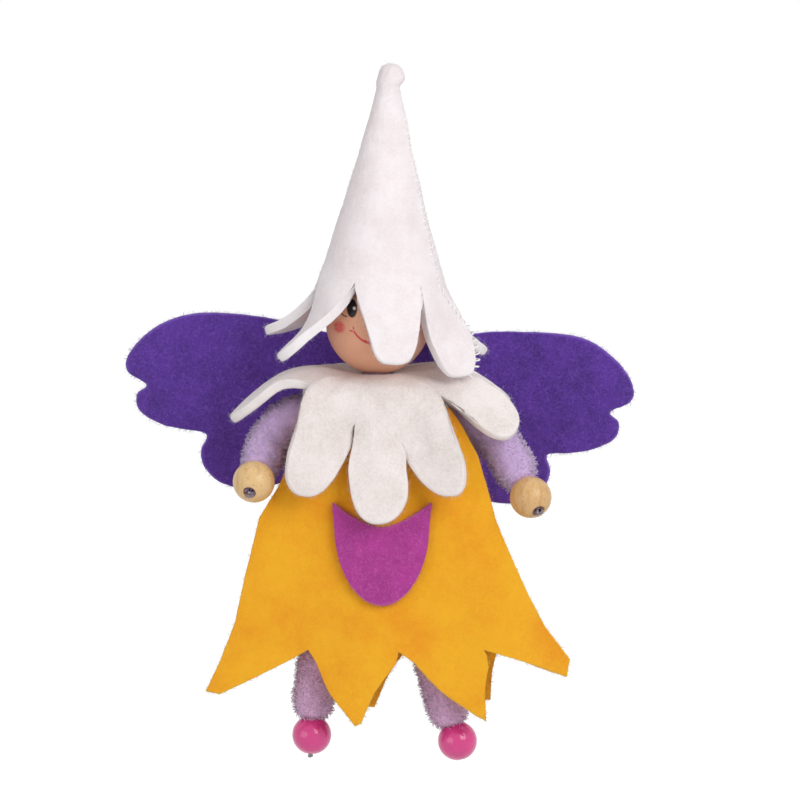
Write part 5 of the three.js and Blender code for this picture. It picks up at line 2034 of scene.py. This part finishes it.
@dataclass
class Limb:
    """An arm or a leg: a chenille stem on its wire, with a bead at its end."""

    kind: str
    end: str
    side: Side
    joint: tuple[float, float, float]
    chosen: Sequence[Sequence[float]]
    radii: Sequence[tuple[float, float]]
    bead_radius: float
    pile: Fibre
    bead: TurnedWood | BeadPaint
    slots: tuple[str, str]
    seed: int
    core_share: float = 0.88
    overhang: float = 0.6
    bore: float = 1.2
    wire_stub: float = 0.4

    def lines(self) -> tuple[list, list, np.ndarray, np.ndarray]:
        """Where the pile and the wire run, and the bead's centre and direction."""
        points = [np.array(self.joint, float), *(np.array(p, float) for p in self.chosen)]
        centre = points[-1]
        along = unit(centre - points[-2])
        pile_end = centre - along * (self.bead_radius + SEAT)
        wire_end = centre + along * (self.bead_radius + self.wire_stub)
        return [*points[:-1], pile_end], [*points[:-1], pile_end, wire_end], centre, along

    def build(self) -> None:
        """Makes the limb's pile, wire and bead."""
        word = self.side.word
        pile, wire, centre, along = self.lines()
        body = f"{self.kind}_{word}"
        ChenilleStem(f"{body}_pile_looks", body, pile, self.radii, self.pile, self.slots[0],
                     [f"{self.kind}_pile_{word}"], core_share=self.core_share,
                     overhang=self.overhang, seed=self.seed).build()
        TwistedWire(f"{body}_twisted_wire", body, wire, 0.35, [f"{self.kind}_wire_{word}"]).build()
        Bead(f"{self.end}_{word}_turned", f"{self.end}_{word}", self.bead_radius, self.bore, centre,
             along, self.bead, self.slots[1], f"{self.end}_bead_{word}").build()
        if self.kind == "arm":
            self.build_tuft(body, centre, along)

    def build_tuft(self, body: str, centre: np.ndarray, along: np.ndarray) -> None:
        """Fibres that the wire drags through the hand's bore and out of its end."""
        start = centre + along * (self.bead_radius - 1.2)
        end = centre + along * (self.bead_radius + 0.1)
        core = ChenilleStem(f"{body}_tuft", body, [start, (start + end) / 2, end],
                            [(0, 0.75), (1, 0.75)], self.pile, self.slots[0], []).core()
        coat = FibreCoat(density=14.0, length=0.95, thickness=0.1, lean=1.0, spread=0.6, curl=0.5,
                         seed=self.seed + 20)
        tuft = coat.on(core, f"{body}_tuft_fibres", self.pile)
        bpy.data.objects.remove(core)
        dress_piece(tuft, FINISHES.of(self.pile), body)


ARM_RADII = ((0, 2.4), (0.1, 2.9), (0.2, 3.7), (0.3, 4.2), (0.86, 4.2), (0.93, 3.6), (1, 2.94))
LEG_RADII = ((0, 3.2), (0.3, 3.5), (0.7, 3.6), (0.9, 3.75), (0.96, 3.5), (1, 2.9))
ARM_LEFT = ((-14, 0.5, -7.6), (-18.2, 0.1, -9.6), (-20.9, -1.2, -13), (-22.2, -3.9, -16.2),
            (-23.6, -10, -19.4))
ARM_RIGHT = ((14, 0.5, -7.6), (19, 0.4, -9.4), (23.2, -0.3, -12.9), (25.9, -2.1, -17.2),
             (29.2, -8.2, -22.6))
LEG_LEFT = ((-7.6, 0.6, -44), (-11, 0.6, -51.5), (-12.2, 0.4, -60), (-12.85, 0.18, -70))
LEG_RIGHT = ((6.8, 0.6, -44.5), (10, 0.6, -53), (12.6, 0.4, -62), (15.37, 0.19, -71.2))


def limbs() -> list[Limb]:
    """The doll's two arms and two legs."""
    wood = {
        Side.LEFT: TurnedWood("lacquered_beech_left", "#E6C088", "#C99A62", "#8E6234",
                              ARM_LEFT[-1], (0.3, -0.2, 0.9)),
        Side.RIGHT: TurnedWood("lacquered_beech_right", "#DDB27A", "#BE8C52", "#8E6234",
                               ARM_RIGHT[-1], (-0.5, 0.2, 0.8)),
    }
    pink = BeadPaint("pink_gloss_paint", "#E03C8C", "#C62F78")
    made = []
    for side, route, seed in ((Side.LEFT, ARM_LEFT, 11), (Side.RIGHT, ARM_RIGHT, 12)):
        made.append(Limb("arm", "hand", side, (side.value * 9.0, 0.4, -7.6), route, ARM_RADII, 4.0,
                         LILAC_PILE, wood[side], ("lilac_pile", "bare_wood"), seed))
    for side, route, seed in ((Side.LEFT, LEG_LEFT, 13), (Side.RIGHT, LEG_RIGHT, 14)):
        made.append(Limb("leg", "foot", side, (side.value * 3.6, 0.4, -38.4), route, LEG_RADII, 3.8,
                         MAUVE_PILE, pink, ("mauve_pile", "pink_paint"), seed,
                         core_share=0.99, overhang=0.95,
                         wire_stub=0.5 if side is Side.LEFT else -0.2))
    return made


@dataclass
class BodyStem:
    """The doll's hidden middle: the body's stem, its wire, and the arms' stem wound on it."""

    wrap_radius: float = 1.4
    wrap_pitch: float = 6.4
    spine_wire: float = 0.5
    shoulder: tuple[float, float, float] = (9.0, 0.4, 7.6)
    spine_top: float = 15.0
    spine_bottom: float = 34.8

    def wrap_route(self) -> list[tuple[float, float, float]]:
        """The arms' stem: in from the left shoulder, once round the spine, out to the right."""
        x, y, depth = self.shoulder
        radius = self.spine_wire * 2 + SEAT + self.wrap_radius
        stub = x - SEAT
        straight = stub - 2 * self.wrap_radius
        lead = (radius + self.wrap_radius, -0.4 * radius, 0.3 * self.wrap_pitch)
        route = [(-stub, y, -depth), (-straight, y, -depth), (-lead[0], lead[1], -depth + lead[2])]
        turns = 12
        for i in range(turns + 1):
            angle = -math.pi / 2 + 2 * math.pi * i / turns
            route.append((radius * math.cos(angle), radius * math.sin(angle),
                          -depth + self.wrap_pitch * (0.5 - i / turns)))
        route += [(lead[0], lead[1], -depth - lead[2]), (straight, y, -depth), (stub, y, -depth)]
        return route

    def build(self) -> None:
        """Makes the neck, the torso, the wound stem and the wire through them."""
        depth = self.shoulder[2]
        half = self.wrap_pitch / 2 + self.wrap_radius
        neck_top = HEAD_Z - math.sqrt(HEAD_RADIUS ** 2 - 1.9 ** 2) - SEAT
        neck_bottom = -depth + half + SEAT
        torso_top = -depth - half - SEAT
        torso_bottom = -self.spine_bottom + SEAT
        self.stem("neck", neck_top, neck_bottom, ((0, 2.4), (1, 2.4)), 21)
        self.stem("torso", torso_top, torso_bottom,
                  ((0, 2.94), (0.2, 4.2), (0.8, 4.2), (1, 2.94)), 22)
        ChenilleStem("arm_stem_wrap_pile", "torso", self.wrap_route(), ((0, 1.4), (1, 1.4)),
                     LILAC_PILE, "lilac_pile", ["arm_stem_wrap"], density=5.0, core_share=0.8,
                     seed=23).build()
        TwistedWire("spine_twisted_wire", "torso",
                    [(0, 0, self.spine_top), (0, 0, -10), (0, 0, -self.spine_bottom)],
                    self.spine_wire, ["spine_wire"]).build()

    def stem(
        self, word: str, top: float, bottom: float, radii: Sequence[tuple[float, float]], seed: int
    ) -> None:
        """Makes one upright length of the body's pile."""
        points = [(0, 0, top), (0, 0, (top + bottom) / 2), (0, 0, bottom)]
        ChenilleStem(f"{word}_chenille", "torso", points, radii, MAUVE_PILE, "mauve_pile",
                     [f"{word}_pile"], density=5.0, seed=seed).build()


# Studio


@dataclass
class Studio:
    """A plain white studio: floor and backdrop in one, soft lamps, and the photo's camera."""

    elevation: float = 6.0
    distance: float = 0.9
    frame_width: float = 0.1538
    target: tuple[float, float, float] = (0.0021, 0.0, -0.0647)
    floor_z: float = -0.2
    ambient: float = 0.45

    def build(self) -> None:
        """Makes everything round the doll."""
        self.floor()
        self.world()
        self.lamp("key_softbox", (0.42, -0.55, 0.3), 0.45, 2.7)
        self.lamp("fill_softbox", (-0.5, -0.5, -0.08), 0.5, 1.25)
        self.lamp("top_softbox", (0.05, -0.02, 0.55), 0.4, 0.5)
        self.camera()

    def floor(self) -> None:
        """The pale floor, well below the hanging doll. It keeps the doll's shadow."""
        mesh = bpy.data.meshes.new("floor")
        half, z = 6.0, self.floor_z
        mesh.from_pydata([(-half, -half, z), (half, -half, z), (half, half, z), (-half, half, z)],
                         [], [(0, 1, 2, 3)])
        floor = bpy.data.objects.new("floor", mesh)
        bpy.context.scene.collection.objects.link(floor)
        material, tree = new_material("white_paper_floor")
        seen = self.seen_directly(tree)
        paper = out(add_node(tree, "ShaderNodeBsdfPrincipled", {
            "Base Color": linear("#E8E8E8"), "Roughness": 0.9, "Specular IOR Level": 0.1,
        }))
        glow = out(add_node(tree, "ShaderNodeEmission", {"Color": (1, 1, 1, 1), "Strength": 1.25}))
        share = out(add_node(tree, "ShaderNodeMath", {"Value": seen, "Value_001": 0.8},
                             operation="MULTIPLY"))
        both = add_node(tree, "ShaderNodeMixShader", {"Fac": share})
        tree.links.new(paper, both.inputs[1])
        tree.links.new(glow, both.inputs[2])
        add_node(tree, "ShaderNodeOutputMaterial", {"Surface": out(both)})
        mesh.materials.append(material)

    def seen_directly(self, tree: bpy.types.NodeTree) -> bpy.types.NodeSocket:
        """1 for what the camera sees, also in gloss or through glass, and 0 for lighting."""
        rays = add_node(tree, "ShaderNodeLightPath")
        either = out(add_node(tree, "ShaderNodeMath", {
            "Value": out(rays, "Is Camera Ray"), "Value_001": out(rays, "Is Glossy Ray"),
        }, operation="MAXIMUM"))
        return out(add_node(tree, "ShaderNodeMath", {
            "Value": either, "Value_001": out(rays, "Is Transmission Ray"),
        }, operation="MAXIMUM"))

    def world(self) -> None:
        """White all round for the camera, and an even soft light for the doll."""
        world = bpy.data.worlds.new("studio")
        bpy.context.scene.world = world
        world.use_nodes = True
        tree = world.node_tree
        tree.nodes.clear()
        seen = self.seen_directly(tree)
        strength = out(add_node(tree, "ShaderNodeMapRange", {
            "Value": seen, "To Min": self.ambient, "To Max": 1.0,
        }))
        glow = out(add_node(tree, "ShaderNodeBackground", {
            "Color": (1.0, 1.0, 1.0, 1.0), "Strength": strength,
        }))
        add_node(tree, "ShaderNodeOutputWorld", {"Surface": glow})

    def lamp(self, name: str, place: tuple[float, float, float], size: float, power: float) -> None:
        """Hangs one soft square lamp that looks at the doll."""
        light = bpy.data.lights.new(name, "AREA")
        light.shape = "SQUARE"
        light.size = size
        light.energy = power
        lamp = bpy.data.objects.new(name, light)
        bpy.context.scene.collection.objects.link(lamp)
        lamp.location = place
        aim = Vector(self.target) - Vector(place)
        lamp.rotation_euler = aim.to_track_quat("-Z", "Y").to_euler()

    def camera(self) -> None:
        """Sets the photo's camera: straight on, a little above the doll."""
        lens = bpy.data.cameras.new("photo_camera")
        lens.sensor_width = 36.0
        lens.lens = 36.0 * self.distance / self.frame_width
        camera = bpy.data.objects.new("photo_camera", lens)
        bpy.context.scene.collection.objects.link(camera)
        rise = math.radians(self.elevation)
        away = Vector((0, -math.cos(rise), math.sin(rise))) * self.distance
        camera.location = Vector(self.target) + away
        camera.rotation_euler = Euler((math.pi / 2 - rise, 0, 0))
        bpy.context.scene.camera = camera


def main() -> None:
    """Loads the frame and builds the doll's parts in order."""
    logging.basicConfig(level=logging.INFO, format="%(name)s: %(message)s")
    for leftover in list(bpy.data.objects):
        bpy.data.objects.remove(leftover)
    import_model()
    bpy.context.scene.view_settings.view_transform = "Standard"
    Studio().build()
    Head().build()
    BodyStem().build()
    for limb in limbs():
        limb.build()
    Hat().build()
    Dress().build()
    Collar().build()
    Wings().build()


if __name__ == "__main__":
    main()
